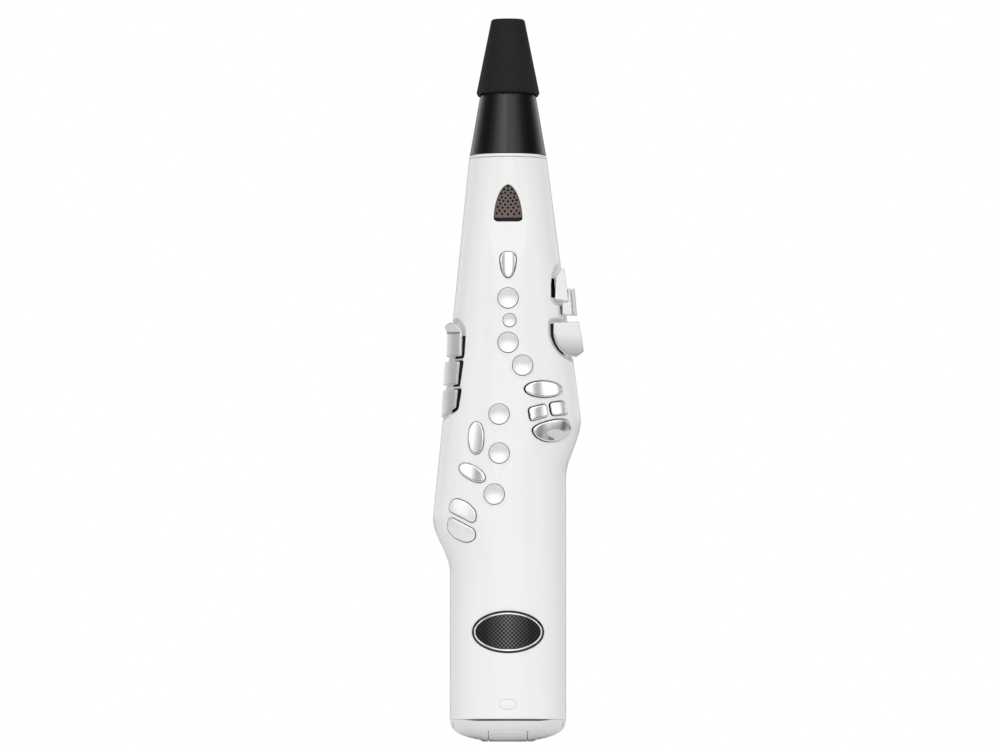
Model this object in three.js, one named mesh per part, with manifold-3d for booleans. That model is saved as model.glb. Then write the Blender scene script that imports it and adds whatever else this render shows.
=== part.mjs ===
// A digital wind controller: a straight body with saxophone-style keys, upright, with the mouthpiece up.
// Millimetres, +Z up along the body, the key side towards -Y. Heights are above the foot,
// and the whole group is moved at the end so that the strap lug's eye is the origin.
import * as THREE from "three";
import { mergeVertices } from "three/addons/utils/BufferGeometryUtils.js";
import Module from "manifold-3d";

// Casing
const casingHeight = 408;
const collarHalfWidth = 27.3;
const tubeHalfWidth = 40.6;
const leftFlareHalfWidth = 52.5;
const leftFlareDrop = 252;
const leftFlareTop = casingHeight - leftFlareDrop;
const leftFlareLength = 37.5;
const leftFlareFoot = leftFlareTop - leftFlareLength;
const rightFlareHalfWidth = 51.1;
const rightFlareDrop = 183;
const rightFlareTop = casingHeight - rightFlareDrop;
const rightFlareLength = 41;
const rightFlareFoot = rightFlareTop - rightFlareLength;
const frontDepth = 30;
const backDepth = 28;
const shoulderDrop = 78;
const shoulderHeight = casingHeight - shoulderDrop;
const endHeight = 15;
const landHalfWidth = 18.3;
const wall = 2.4;
const seam = 0.3;
const frontRoundness = 2.3;
const backRoundness = 2.7;
const endRoundness = 2.4;
const endSlantRoundness = 1.3;
const overrun = 2;

// Collar, neck, cap and mouthpiece
const collarHeight = 2.3;
const neckLength = 46;
const neckTop = casingHeight + neckLength;
const neckTopRadius = 19.6;
const neckFootRadius = 26.3;
const neckPlate = 5;
const spigotDrop = 6;
const spigotWall = 2;
const stemRadius = 9;
const stemLength = 8;
const airBore = 3.6;
const mouthpieceTipWidth = 16;
const mouthpieceTipDepth = 6;
const flangeHeight = 3;
const flangeRadius = 11.5;
const capOverlap = 3;
const capLength = 55;
const capFoot = neckTop - capOverlap;
const capTop = capFoot + capLength;
const capRoom = 7;
const mouthpieceLength = capLength - capOverlap - capRoom;
const capFootRadius = 22;
const capTipWidth = 24;
const capTipDepth = 17;
const capWall = 1.6;
const capCrown = 2.4;

// Keys
const keyGap = 0.35;
const keySkirt = 1.6;
const keyTravel = 1.6;
const pearlDiameter = 14;
const bisDiameter = 9;
const pearlRise = 1.4;
const pearlDish = 0.9;
const pearlRim = 0.9;
const pearlFlange = 0.9;
const pearlFlangeHeight = 1.2;
const chainDrop = 99.8;
const chainTop = casingHeight - chainDrop;
const chainPitch = 15.5;
const bisShift = 1;
const thirdFingerShift = 10.1;
const thirdFingerDrop = 15.9;
const rightHandDrop = 180.8;
const rightHandTop = casingHeight - rightHandDrop;
const rightHandPitch = 27.9;
const rightHandShift = 6.2;
const ringFingerShift = 3.4;
const stemKeyRadius = 2.2;
const frontKeyWidth = 12.5;
const frontKeyHeight = 18.4;
const frontKeyDrop = 76.5;
const frontKeyLevel = casingHeight - frontKeyDrop;
const frontKeyRise = 1.2;
const frontKeyCorner = 4;
const ovalRise = 1.6;
const trillWidth = 11.2;
const trillHeight = 23.1;
const trillAcross = 22.3;
const trillDrop = 16.5;
const trillLevel = rightHandTop - trillDrop;
const tiltedWidth = 20.6;
const tiltedHeight = 9.8;
const tiltedAcross = 25.1;
const tiltedDrop = 40.8;
const tiltedLevel = rightHandTop - tiltedDrop;
const tiltedTurn = THREE.MathUtils.degToRad(30);
const ovalRoundness = 2.25;
const tableLeft = 14.4;
const tableDrop = 19.2;
const tableFoot = rightHandTop - tableDrop;
const tableWidth = 30;
const tableHeight = 42.7;
const tableRise = 2;
const tableCorner = 2.4;
const pinkyLeft = 42.4;
const pinkyDrop = 18;
const pinkyFoot = leftFlareTop - pinkyDrop;
const pinkyWidth = 19.9;
const pinkyHeight = 30.8;
const pinkyRise = 1.8;
const pinkyCorner = 2.4;

// Side and palm keys, which are plates that stand above pockets
const plateThickness = 2.2;
const plateRise = 1.2;
const plateCorner = 1.2;
const plateBlock = 7;
const plateStemReach = 3;
const pocketDepth = 1.1;
const pocketMargin = 1.6;
const sideTurn = THREE.MathUtils.degToRad(-55);
const sideAcross = 33;
const sideWidth = 20;
const sideDrop = 115.8;
const sideTop = casingHeight - sideDrop;
const sideHeight = 24;
const sideMiddleHeight = 16;
const sideLowHeight = 18.6;
const sideGap = 3.7;
const palmTurn = THREE.MathUtils.degToRad(40);
const palmInset = 8.4;
const palmWidth = 12.1;
const palmDrop = 77.8;
const palmTop = casingHeight - palmDrop;
const palmHeight = 23.6;
const palmStripInset = 3.9;
const palmStripWidth = 13.7;
const palmStripHeight = 19;
const palmLowInset = 13.9;
const palmLowWidth = 27.5;
const palmLowDrop = 37;
const palmLowTop = palmTop - palmLowDrop;
const palmLowHeight = 25.2;

// Grille, badge and button on the front
const grilleWidth = 20;
const grilleHeight = 25.9;
const grilleDrop = 45.7;
const grilleFoot = casingHeight - grilleDrop;
const grilleSink = 1.8;
const grilleThickness = 1.2;
const grillePitch = 3.1;
const grilleHoleRadius = 0.75;
const grilleBorder = 1.5;
const badgeWidth = 50;
const badgeHeight = 29;
const badgeLevel = 75.6;
const badgeRimWidth = 2.4;
const plateSink = 0.8;
const badgeRise = 0.7;
const buttonWidth = 12.6;
const buttonHeight = 7.2;
const buttonLevel = 25.2;
const buttonRise = 0.4;
const buttonTravel = 1;

// Back: display, dial, thumb rest, octave keys, strap lug, thumb hook and sockets
const displayWidth = 24;
const displayHeight = 13;
const displayDrop = 32;
const displayLevel = casingHeight - displayDrop;
const displayRise = 0.3;
const displayCorner = 2;
const dialRadius = 7.5;
const dialHeight = 4;
const dialDrop = 58;
const dialLevel = casingHeight - dialDrop;
const dialShaftRadius = 2;
const dialFlutes = 14;
const dialFluteDepth = 0.6;
const encoderWidth = 12;
const encoderDepth = 5;
const thumbRestDiameter = 22;
const thumbRestDrop = 136;
const thumbRestLevel = casingHeight - thumbRestDrop;
const thumbRestRise = 2;
const octaveWidth = 21;
const octaveHeight = 11;
const octaveGap = 3;
const octaveRise = 3;
const octaveCorner = 3;
const lugDrop = 183;
const lugLevel = casingHeight - lugDrop;
const lugBaseWidth = 14;
const lugBaseHeight = 20;
const lugThickness = 3.2;
const lugReach = 9.5;
const eyeRadius = 2.6;
const baseRise = 1.4;
const baseCorner = 3;
const ringRadius = 10;
const ringWireRadius = 1.3;
const hookDrop = 49;
const hookLevel = lugLevel - hookDrop;
const hookWidth = 15;
const hookInnerRadius = 10;
const hookThickness = 2.6;
const hookBaseHeight = 26;
const hookTurn = THREE.MathUtils.degToRad(190);
const socketLevel = 34;
const socketAcross = 13;
const usbWidth = 10.4;
const usbHeight = 4.8;
const usbSlotWidth = 8.6;
const usbSlotHeight = 2.6;
const phonesRadius = 4.4;
const phonesBore = 1.75;
const socketDepth = 13;
const socketBlind = 10;
const screwDrop = 11;
const screwUpperLevel = casingHeight - screwDrop;
const screwLowerLevel = 104;
const screwUpperAcross = 15;
const screwLowerAcross = 27;
const screwHeadRadius = 2.7;
const screwHeadHeight = 2;
const screwShankRadius = 1.25;
const screwSink = 1.4;
const bossRadius = 4.6;
const screwBite = 12;

// Inside: boards, air path, speaker, battery and its door
const boardThickness = 1.6;
const keyBoardDepth = 4;
const keyBoardLength = 216;
const keyBoardDrop = 68;
const keyBoardTop = casingHeight - keyBoardDrop;
const mainBoardDepth = 15;
const mainBoardLength = 122;
const mainBoardDrop = 46;
const mainBoardTop = casingHeight - mainBoardDrop;
const sensorSize = 12;
const sensorHeight = 6;
const sensorDrop = 36;
const sensorLevel = mainBoardTop - sensorDrop;
const tubeRadius = 2.8;
const tubeBore = 1.4;
const speakerRadius = 12;
const speakerDepth = 8;
const speakerLip = 2;
const cellRadius = 9.2;
const cellLength = 65;
const cellDepth = 4;
const cellLift = 1.2;
const sleeveWall = 1.4;
const sleeveFoot = 8;
const sleeveSpare = 1;
const sleeveLength = cellLength + sleeveSpare;
const bulkheadThickness = 2;
const doorHalfWidth = 13.7;
const doorHeight = 6.7;
const doorGap = 0.4;
const doorHingeDepth = 8;
const knuckleRadius = 2.1;
const pinRadius = 0.8;
const bossWidth = 3.6;

// Counts
const quarterSteps = 6;
const pearlSides = 14;
const ovalSides = 16;
const cornerSteps = 2;
const roundSides = 20;
const smallSides = 10;
const tubeSides = 8;
const stemSides = 6;
const tubeSteps = 10;
const holeSides = 5;
const archSteps = 6;
const hookSteps = 10;
const mergeTolerance = 0.0001;

// Outlines, in shares of the width and height of the box they fill
const shieldShares = [
  [-0.3, -0.5], [0.3, -0.5], [0.46, -0.08], [0.5, 0.34],
  [0.36, 0.5], [-0.36, 0.5], [-0.5, 0.34], [-0.46, -0.08],
];
const cSharpShares = [[0.05, 0.335], [0.455, 0.42], [0.405, 0.62], [0, 0.545]];
const bKeyShares = [[0.53, 0.425], [0.905, 0.465], [0.81, 0.675], [0.475, 0.635]];
const bFlatShares = [
  [0.16, 0.085], [0.34, 0.015], [0.52, 0], [0.72, 0.02], [0.97, 0.16], [1, 0.26], [0.9, 0.37],
  [0.66, 0.37], [0.42, 0.33], [0.2, 0.27], [0.08, 0.2],
];
const gSharpPlaceShares = [0.357, 0.86];
const gSharpSizeShares = [0.885, 0.28];
const upperPinkyShares = [
  [0.87, 0.44], [1, 0.49], [1, 0.7], [0.72, 0.895], [0.34, 1], [0.13, 0.95], [0.05, 0.77], [0.08, 0.715],
];
const lowerPinkyShares = [
  [0, 0.46], [0.02, 0.28], [0.24, 0.115], [0.64, 0], [0.88, 0.03], [1, 0.13], [0.95, 0.29], [0.12, 0.575],
];
const sideTopShares = [
  [-0.86, 0], [0, 0], [0.04, 0.66], [-0.16, 0.86], [-0.45, 1], [-0.62, 1], [-1, 0.92], [-0.8, 0.66],
];
const sideMiddleShares = [[-1, 0], [-0.1, 0], [0, 1], [-0.86, 1]];
const sideLowShares = [[-1, 0], [-0.88, 0], [-0.1, 0.32], [0, 1], [-0.85, 1]];
const palmTopShares = [[0, 0.03], [1, 0], [0.55, 1], [0.34, 0.86], [0.13, 0.74]];
const palmStripShares = [[0, 0], [1, 0], [0.86, 1], [0.52, 1], [0.62, 0.5], [0, 0.47]];
const palmLowShares = [
  [0, 0.93], [0, 0.57], [0.08, 0.36], [0.22, 0.18], [0.42, 0.06], [0.75, 0], [1, 0.17], [0.83, 1],
];
const endRingShares = [0, 0.09, 0.22, 0.42, 0.68, 1];
const endSlantShares = [0.17, 0.57];
const archShare = 2.3;
const archPowerShare = 0.8;
const sideLeanShare = 0.62;
const palmBlockShare = 0.58;
const palmStripBlockShare = 0.3;
const capWaistShare = 0.5;
const capCrownShare = 0.8;
const pearlRimShare = 0.86;
const cornerShare = 0.45;
const leastLean = 0.5;
const dishShare = 0.5;
const coneShare = 0.5;
const terminalShare = 0.5;
const bulkheadHoleShare = 0.5;
const beakShares = [0, 0.5, 1];

const colours = {
  white: { color: 0xe9e9e8, roughness: 0.3, metalness: 0 },
  cap: { color: 0x1b1b1c, roughness: 0.85, metalness: 0 },
  glossBlack: { color: 0x08080a, roughness: 0.08, metalness: 0 },
  pearl: { color: 0xe4e4e6, roughness: 0.25, metalness: 0.5 },
  chrome: { color: 0xd2d2d4, roughness: 0.12, metalness: 1 },
  mesh: { color: 0x6e5f5c, roughness: 0.5, metalness: 0.6 },
  darkField: { color: 0x101012, roughness: 0.4, metalness: 0.2 },
  rubber: { color: 0x202022, roughness: 0.9, metalness: 0 },
  board: { color: 0x1f5b3a, roughness: 0.6, metalness: 0 },
  steel: { color: 0x9fa1a4, roughness: 0.35, metalness: 1 },
  cell: { color: 0x3c6fa8, roughness: 0.45, metalness: 0 },
  glass: { color: 0x0b0d12, roughness: 0.05, metalness: 0 },
};

const wasm = await Module();
wasm.setup();

// Joining and cutting
function solidOf(geometry) {
  const plain = geometry.clone();
  plain.deleteAttribute("normal");
  plain.deleteAttribute("uv");
  const merged = mergeVertices(plain, mergeTolerance);
  return new wasm.Manifold(new wasm.Mesh({
    numProp: 3,
    vertProperties: new Float32Array(merged.attributes.position.array),
    triVerts: new Uint32Array(merged.index.array),
  }));
}

function geometryOf(solid) {
  const mesh = solid.getMesh();
  const positions = new Float32Array(mesh.numVert * 3);
  for (let i = 0; i < mesh.numVert; i++) {
    positions.set(mesh.vertProperties.subarray(i * mesh.numProp, i * mesh.numProp + 3), i * 3);
  }
  const geometry = new THREE.BufferGeometry();
  geometry.setAttribute("position", new THREE.BufferAttribute(positions, 3));
  geometry.setIndex(new THREE.BufferAttribute(new Uint32Array(mesh.triVerts), 1));
  const flat = geometry.toNonIndexed();
  flat.computeVertexNormals();
  return flat;
}

// Casing surface
function smooth(value) {
  const t = THREE.MathUtils.clamp(value, 0, 1);
  return t * t * (3 - 2 * t);
}

function flareAt(z, flare, top, foot) {
  if (z >= top) {
    const share = (casingHeight - z) / (casingHeight - top);
    return collarHalfWidth + (flare - collarHalfWidth) * share;
  }
  return THREE.MathUtils.lerp(tubeHalfWidth, flare, smooth((z - foot) / (top - foot)));
}

// Half widths, depths and roundness of the casing's section at a height, moved outwards by a distance
function sectionAt(z, out = 0) {
  const share = smooth((casingHeight - z) / (casingHeight - shoulderHeight));
  return {
    left: flareAt(z, leftFlareHalfWidth, leftFlareTop, leftFlareFoot) + out,
    right: flareAt(z, rightFlareHalfWidth, rightFlareTop, rightFlareFoot) + out,
    front: THREE.MathUtils.lerp(collarHalfWidth, frontDepth, share) + out,
    back: THREE.MathUtils.lerp(collarHalfWidth, backDepth, share) + out,
    frontPower: THREE.MathUtils.lerp(2, frontRoundness, share),
    backPower: THREE.MathUtils.lerp(2, backRoundness, share),
  };
}

// The casing's surface as a depth: negative on the key side, positive on the back
function surfaceAt(x, z, side, out = 0) {
  const section = sectionAt(z, out);
  const half = x < 0 ? section.left : section.right;
  const depth = side < 0 ? section.front : section.back;
  const power = side < 0 ? section.frontPower : section.backPower;
  const reach = 1 - Math.pow(Math.min(Math.abs(x) / half, 1), power);
  return side * depth * Math.pow(reach, 1 / power);
}

function ringOf(section, z) {
  const points = [];
  const total = quarterSteps * 4;
  for (let i = 0; i < total; i++) {
    const angle = (i / total) * Math.PI * 2;
    const across = Math.cos(angle);
    const deep = Math.sin(angle);
    const power = deep < 0 ? section.frontPower : section.backPower;
    const half = across < 0 ? section.left : section.right;
    const depth = deep < 0 ? section.front : section.back;
    points.push(new THREE.Vector3(
      Math.sign(across) * half * Math.pow(Math.abs(across), 2 / power),
      Math.sign(deep) * depth * Math.pow(Math.abs(deep), 2 / power),
      z,
    ));
  }
  return points;
}

// A closed body through rings of equal count, from the lowest up
function loft(rings) {
  const count = rings[0].length;
  const points = rings.flat();
  const middle = (ring) => ring.reduce((sum, p) => sum.add(p), new THREE.Vector3()).divideScalar(count);
  points.push(middle(rings[0]), middle(rings.at(-1)));
  const low = points.length - 2;
  const high = points.length - 1;
  const index = [];
  const last = (rings.length - 1) * count;
  for (let i = 0; i < count; i++) {
    const next = (i + 1) % count;
    for (let r = 0; r < last; r += count) {
      index.push(r + i, r + next, r + count + next);
      index.push(r + i, r + count + next, r + count + i);
    }
    index.push(low, next, i);
    index.push(high, last + i, last + next);
  }
  return new THREE.BufferGeometry().setFromPoints(points).setIndex(index);
}

function between(from, to, steps) {
  return Array.from({ length: steps + 1 }, (_, i) => THREE.MathUtils.lerp(from, to, i / steps));
}

function stations(low, high) {
  const marks = [
    ...between(endHeight, leftFlareFoot, 2),
    ...between(leftFlareFoot, leftFlareTop, 4),
    ...between(rightFlareFoot, rightFlareTop, 4),
    ...between(rightFlareTop, shoulderHeight, 2),
    ...between(shoulderHeight, casingHeight, 3),
  ];
  const inside = marks.filter((z) => z > low + seam && z < high - seam).sort((a, b) => a - b);
  const spaced = inside.filter((z, i) => i === 0 || z - inside[i - 1] > seam);
  return [low, ...spaced, high];
}

// The solid inside the casing's surface moved outwards by a distance, between two heights
function casingBody(out, low = endHeight, high = casingHeight) {
  return solidOf(loft(stations(low, high).map((z) => ringOf(sectionAt(z, out), z))));
}

function endScale(share, roundness) {
  return Math.pow(1 - Math.pow(1 - share, roundness), 1 / roundness);
}

// The domed end below the casing, moved inwards by a distance and then open at its top.
// It is round at its sides and back, and slants in below the key side.
function endBody(inset) {
  const section = sectionAt(endHeight, -inset);
  const landScale = (landHalfWidth - inset) / section.left;
  const top = endHeight - seam;
  const [slantFrom, slantTo] = endSlantShares;
  const rings = endRingShares.map((share) => {
    const dome = Math.max(endScale(share, endRoundness), landScale);
    const slant = THREE.MathUtils.lerp(landScale, 1, endScale(share, endSlantRoundness));
    return ringOf(section, THREE.MathUtils.lerp(inset, top, share)).map((point) => {
      const facing = -point.y / Math.hypot(point.x, point.y);
      const scale = THREE.MathUtils.lerp(dome, slant, smooth((facing - slantFrom) / (slantTo - slantFrom)));
      return new THREE.Vector3(point.x * scale, point.y * scale, point.z);
    });
  });
  return solidOf(loft(inset > 0 ? [...rings, ringOf(section, top + overrun)] : rings));
}

// Boxes, prisms and outlines
function box(x0, x1, y0, y1, z0, z1) {
  const geometry = new THREE.BoxGeometry(x1 - x0, y1 - y0, z1 - z0);
  geometry.translate((x0 + x1) / 2, (y0 + y1) / 2, (z0 + z1) / 2);
  return solidOf(geometry);
}

function lathe(profile, sides = roundSides) {
  const points = profile.map(([r, z]) => new THREE.Vector2(r, z));
  const geometry = new THREE.LatheGeometry(points, sides);
  geometry.rotateX(Math.PI / 2);
  return geometry;
}

// A disc or rod on its own Z axis
function rod(radius, low, high, sides = roundSides) {
  return lathe([[0, low], [radius, low], [radius, high], [0, high]], sides);
}

function ellipse(width, height, power = 2, sides = ovalSides) {
  return Array.from({ length: sides }, (_, i) => {
    const angle = (i / sides) * Math.PI * 2;
    const u = Math.cos(angle);
    const v = Math.sin(angle);
    return new THREE.Vector2(
      (width / 2) * Math.sign(u) * Math.pow(Math.abs(u), 2 / power),
      (height / 2) * Math.sign(v) * Math.pow(Math.abs(v), 2 / power),
    );
  });
}

function rounded(corners, radius) {
  const path = new THREE.Path();
  corners.forEach((corner, i) => {
    const before = corners.at(i - 1).clone().sub(corner);
    const after = corners[(i + 1) % corners.length].clone().sub(corner);
    const start = corner.clone().addScaledVector(before.clone().normalize(),
      Math.min(radius, before.length() * cornerShare));
    const end = corner.clone().addScaledVector(after.clone().normalize(),
      Math.min(radius, after.length() * cornerShare));
    if (i === 0) path.moveTo(start.x, start.y);
    else path.lineTo(start.x, start.y);
    path.quadraticCurveTo(corner.x, corner.y, end.x, end.y);
  });
  return path.getPoints(cornerSteps);
}

function polygon(shares, width, height) {
  return shares.map(([u, v]) => new THREE.Vector2(u * width, v * height));
}

function rectangle(width, height, radius) {
  const shares = [[-0.5, -0.5], [0.5, -0.5], [0.5, 0.5], [-0.5, 0.5]];
  return rounded(polygon(shares, width, height), radius);
}

// An outline moved outwards on every side, inwards where the distance is negative
function grown(outline, by) {
  return outline.map((point, i) => {
    const a = point.clone().sub(outline.at(i - 1)).normalize();
    const b = outline[(i + 1) % outline.length].clone().sub(point).normalize();
    const normal = new THREE.Vector2(a.y + b.y, -a.x - b.x).normalize();
    const lean = Math.max(normal.x * a.y - normal.y * a.x, leastLean);
    return point.clone().addScaledVector(normal, by / lean);
  });
}

function moved(outline, x, y, turn = 0) {
  const centre = new THREE.Vector2();
  return outline.map((p) => p.clone().rotateAround(centre, turn).add(new THREE.Vector2(x, y)));
}

function prism(outline, low, high, holes = []) {
  const shape = new THREE.Shape(outline);
  shape.holes = holes.map((hole) => new THREE.Path(hole));
  const geometry = new THREE.ExtrudeGeometry(shape, { depth: high - low, bevelEnabled: false });
  return geometry.translate(0, 0, low);
}

// Seats: a frame on the casing with Z pointing out, Y up and X along the surface
function seatAt(x, y, z, turn = 0) {
  const seat = new THREE.Object3D();
  seat.position.set(x, y, z);
  seat.rotation.set(Math.PI / 2, 0, turn, "ZXY");
  seat.updateMatrix();
  return seat;
}

function frontSeat(x, z) {
  return seatAt(x, surfaceAt(x, z, -1), z);
}

function backSeat(x, z) {
  return seatAt(x, surfaceAt(x, z, 1), z, Math.PI);
}

function inPlace(geometry, seat) {
  return solidOf(geometry.clone().applyMatrix4(seat.matrix));
}

const part = new THREE.Group();

function add(name, solid, look, seat = new THREE.Object3D()) {
  seat.updateMatrix();
  const geometry = geometryOf(solid).applyMatrix4(seat.matrix.clone().invert());
  const mesh = new THREE.Mesh(geometry, new THREE.MeshStandardMaterial(colours[look]));
  mesh.name = name;
  mesh.position.copy(seat.position);
  mesh.quaternion.copy(seat.quaternion);
  part.add(mesh);
}

// What is cut from the shells, and the screw bosses that join them
const cuts = [];
const bosses = [];

// How far below a seat a face at the given depth lies
function runTo(seat, depth) {
  return Math.abs(seat.position.y - depth);
}

// Keys whose face follows the casing, with a stem that ends above the face it presses on
function crownKey(name, outline, seat, rise, look, stop, travel = keyTravel) {
  const side = Math.sign(seat.position.y);
  const places = outline.map((p) => new THREE.Vector2(seat.position.x - side * p.x, seat.position.z + p.y));
  const outside = places.map((p) => Math.abs(surfaceAt(p.x, p.y, side)));
  const inside = places.map((p) => Math.abs(surfaceAt(p.x, p.y, side, -wall)));
  const bottom = Math.min(...inside) - keySkirt - Math.abs(seat.position.y);
  const top = Math.max(...outside) + rise + overrun - Math.abs(seat.position.y);
  const stemEnd = travel + keyGap - runTo(seat, stop);
  const middle = outline.reduce((sum, p) => sum.add(p), new THREE.Vector2()).divideScalar(outline.length);
  const stem = rod(stemKeyRadius, stemEnd, bottom + seam, stemSides).translate(middle.x, middle.y, 0);
  const face = inPlace(prism(outline, bottom, top), seat).intersect(casingBody(rise));
  cuts.push(inPlace(prism(grown(outline, keyGap), bottom - wall, top), seat));
  add(name, face.add(inPlace(stem, seat)), look, seat);
}

function pearlKey(name, diameter, x, z) {
  const seat = frontSeat(x, z);
  const radius = diameter / 2;
  const rim = radius * pearlRimShare;
  const edge = x < 0 ? x - radius - pearlFlange : x + radius + pearlFlange;
  const sag = surfaceAt(edge, z, -1) - surfaceAt(x, z, -1);
  const flangeTop = -wall - keyGap - sag;
  const flangeFoot = flangeTop - pearlFlangeHeight;
  const stemEnd = keyTravel + keyGap - runTo(seat, keyBoardDepth);
  const profile = [
    [0, stemEnd],
    [stemKeyRadius, stemEnd],
    [stemKeyRadius, flangeFoot],
    [radius + pearlFlange, flangeFoot],
    [radius + pearlFlange, flangeTop],
    [radius, flangeTop],
    [radius, pearlRise - pearlRim * (1 - pearlRimShare)],
    [rim, pearlRise],
    [rim * dishShare, pearlRise - pearlDish * pearlRimShare],
    [0, pearlRise - pearlDish],
  ];
  add(name, inPlace(lathe(profile, pearlSides), seat), "pearl", seat);
  cuts.push(inPlace(rod(radius + keyGap, flangeTop - wall, pearlRise + overrun, pearlSides), seat));
}

// Side and palm keys: a plate over a pocket, with a block that runs down through the wall
function plateKey(name, shares, width, height, seat, blockReach) {
  const outline = rounded(polygon(shares, width, height), plateCorner);
  const foot = plateRise - plateThickness;
  const roof = plateRise + overrun;
  const floor = -plateBlock - wall;
  const zone = (from, to) => [[from, -height], [to, -height], [to, height * 2], [from, height * 2]]
    .map(([u, v]) => new THREE.Vector2(u, v));
  const limit = zone(-width, blockReach);
  const plate = inPlace(prism(outline, foot, plateRise), seat);
  const block = inPlace(prism(outline, -plateBlock, foot + seam), seat)
    .intersect(inPlace(prism(limit, floor, roof), seat));
  const stem = block.intersect(inPlace(prism(zone(-plateStemReach, plateStemReach), floor, roof), seat));
  add(name, plate.add(block.intersect(casingBody(-keyGap))).add(stem), "chrome", seat);
  cuts.push(inPlace(prism(grown(outline, keyGap), floor, roof), seat)
    .intersect(inPlace(prism(grown(limit, keyGap), floor, roof), seat)));
  cuts.push(inPlace(prism(grown(outline, pocketMargin), -plateBlock, roof), seat)
    .subtract(casingBody(-pocketDepth)));
}

// A plate let into the casing
function inlay(outline, seat, rise, holes = []) {
  return inPlace(prism(outline, -backDepth / 2, rise + wall * 2, holes), seat)
    .intersect(casingBody(rise))
    .subtract(casingBody(-plateSink));
}

function pocket(outline, seat) {
  cuts.push(inPlace(prism(grown(outline, seam), -backDepth / 2, wall * 2), seat)
    .subtract(casingBody(-plateSink - seam)));
}

function frontKeys() {
  const second = chainTop - chainPitch * 2;
  pearlKey("key_l1", pearlDiameter, 0, chainTop);
  pearlKey("key_bis", bisDiameter, bisShift, chainTop - chainPitch);
  pearlKey("key_l2", pearlDiameter, 0, second);
  pearlKey("key_l3", pearlDiameter, thirdFingerShift, second - thirdFingerDrop);
  pearlKey("key_r1", pearlDiameter, -rightHandShift, rightHandTop);
  pearlKey("key_r2", pearlDiameter, -rightHandShift, rightHandTop - rightHandPitch);
  pearlKey("key_r3", pearlDiameter, -rightHandShift - ringFingerShift, rightHandTop - rightHandPitch * 2);

  const shield = rounded(polygon(shieldShares, frontKeyWidth, frontKeyHeight), frontKeyCorner);
  crownKey("key_front_f", shield, frontSeat(0, frontKeyLevel), frontKeyRise, "pearl", keyBoardDepth);
  const trill = ellipse(trillWidth, trillHeight, ovalRoundness);
  crownKey("key_trill_upper", trill, frontSeat(-trillAcross, trillLevel), ovalRise, "chrome", keyBoardDepth);
  const tilted = moved(ellipse(tiltedWidth, tiltedHeight, ovalRoundness), 0, 0, -tiltedTurn);
  crownKey("key_trill_lower", tilted, frontSeat(-tiltedAcross, tiltedLevel), ovalRise, "chrome",
    keyBoardDepth);
}

// A key drawn in shares of a box that it shares with its neighbours
function boxKey(name, shares, left, foot, width, height, rise, corner, look) {
  const outline = moved(rounded(polygon(shares, width, height), corner), -width / 2, -height / 2);
  crownKey(name, outline, frontSeat(left + width / 2, foot + height / 2), rise, look, keyBoardDepth);
}

function tableKeys() {
  const [across, level] = gSharpPlaceShares;
  const [wide, high] = gSharpSizeShares;
  const seat = frontSeat(tableLeft + tableWidth * across, tableFoot + tableHeight * level);
  crownKey("key_g_sharp", ellipse(tableWidth * wide, tableHeight * high), seat, tableRise, "chrome",
    keyBoardDepth);
  const keys = { key_c_sharp: cSharpShares, key_b: bKeyShares, key_b_flat: bFlatShares };
  Object.entries(keys).forEach(([name, shares]) => {
    boxKey(name, shares, tableLeft, tableFoot, tableWidth, tableHeight, tableRise, tableCorner, "chrome");
  });
}

function pinkyKeys() {
  const keys = { key_e_flat: upperPinkyShares, key_low_c: lowerPinkyShares };
  Object.entries(keys).forEach(([name, shares]) => {
    boxKey(name, shares, -pinkyLeft, pinkyFoot, pinkyWidth, pinkyHeight, pinkyRise, pinkyCorner, "pearl");
  });
}

function edgeSeat(x, z, turn) {
  return seatAt(x, surfaceAt(x, z, -1), z, turn);
}

function sideKeys() {
  const keys = [
    [sideTopShares, sideHeight],
    [sideMiddleShares, sideMiddleHeight],
    [sideLowShares, sideLowHeight],
  ];
  const edge = sectionAt(sideTop - sideHeight).left;
  let top = sideTop;
  keys.forEach(([shares, height], i) => {
    const lean = (sectionAt(top - height).left - edge) * sideLeanShare;
    const seat = edgeSeat(-sideAcross - lean, top - height, sideTurn);
    plateKey("key_side_" + (i + 1), shares, sideWidth, height, seat, sideWidth);
    top -= height + sideGap;
  });
}

function palmKeys() {
  const foot = palmTop - palmHeight;
  const palmSeat = (inset, z) => edgeSeat(sectionAt(z).right - inset, z, palmTurn);
  const topSeat = palmSeat(palmInset, foot);
  const stripSeat = palmSeat(palmStripInset, foot - palmStripHeight / 2);
  const lowSeat = palmSeat(palmLowInset, palmLowTop - palmLowHeight);
  plateKey("key_palm_1", palmTopShares, palmWidth, palmHeight, topSeat, palmWidth * palmBlockShare);
  plateKey("key_palm_2", palmStripShares, palmStripWidth, palmStripHeight, stripSeat,
    palmStripWidth * palmStripBlockShare);
  plateKey("key_palm_3", palmLowShares, palmLowWidth, palmLowHeight, lowSeat, palmLowWidth * palmBlockShare);
}

// Grille in its pointed arch, with staggered round holes
function archHalf(share) {
  return 0.5 * Math.pow(1 - Math.pow(share, archShare), archPowerShare);
}

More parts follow.
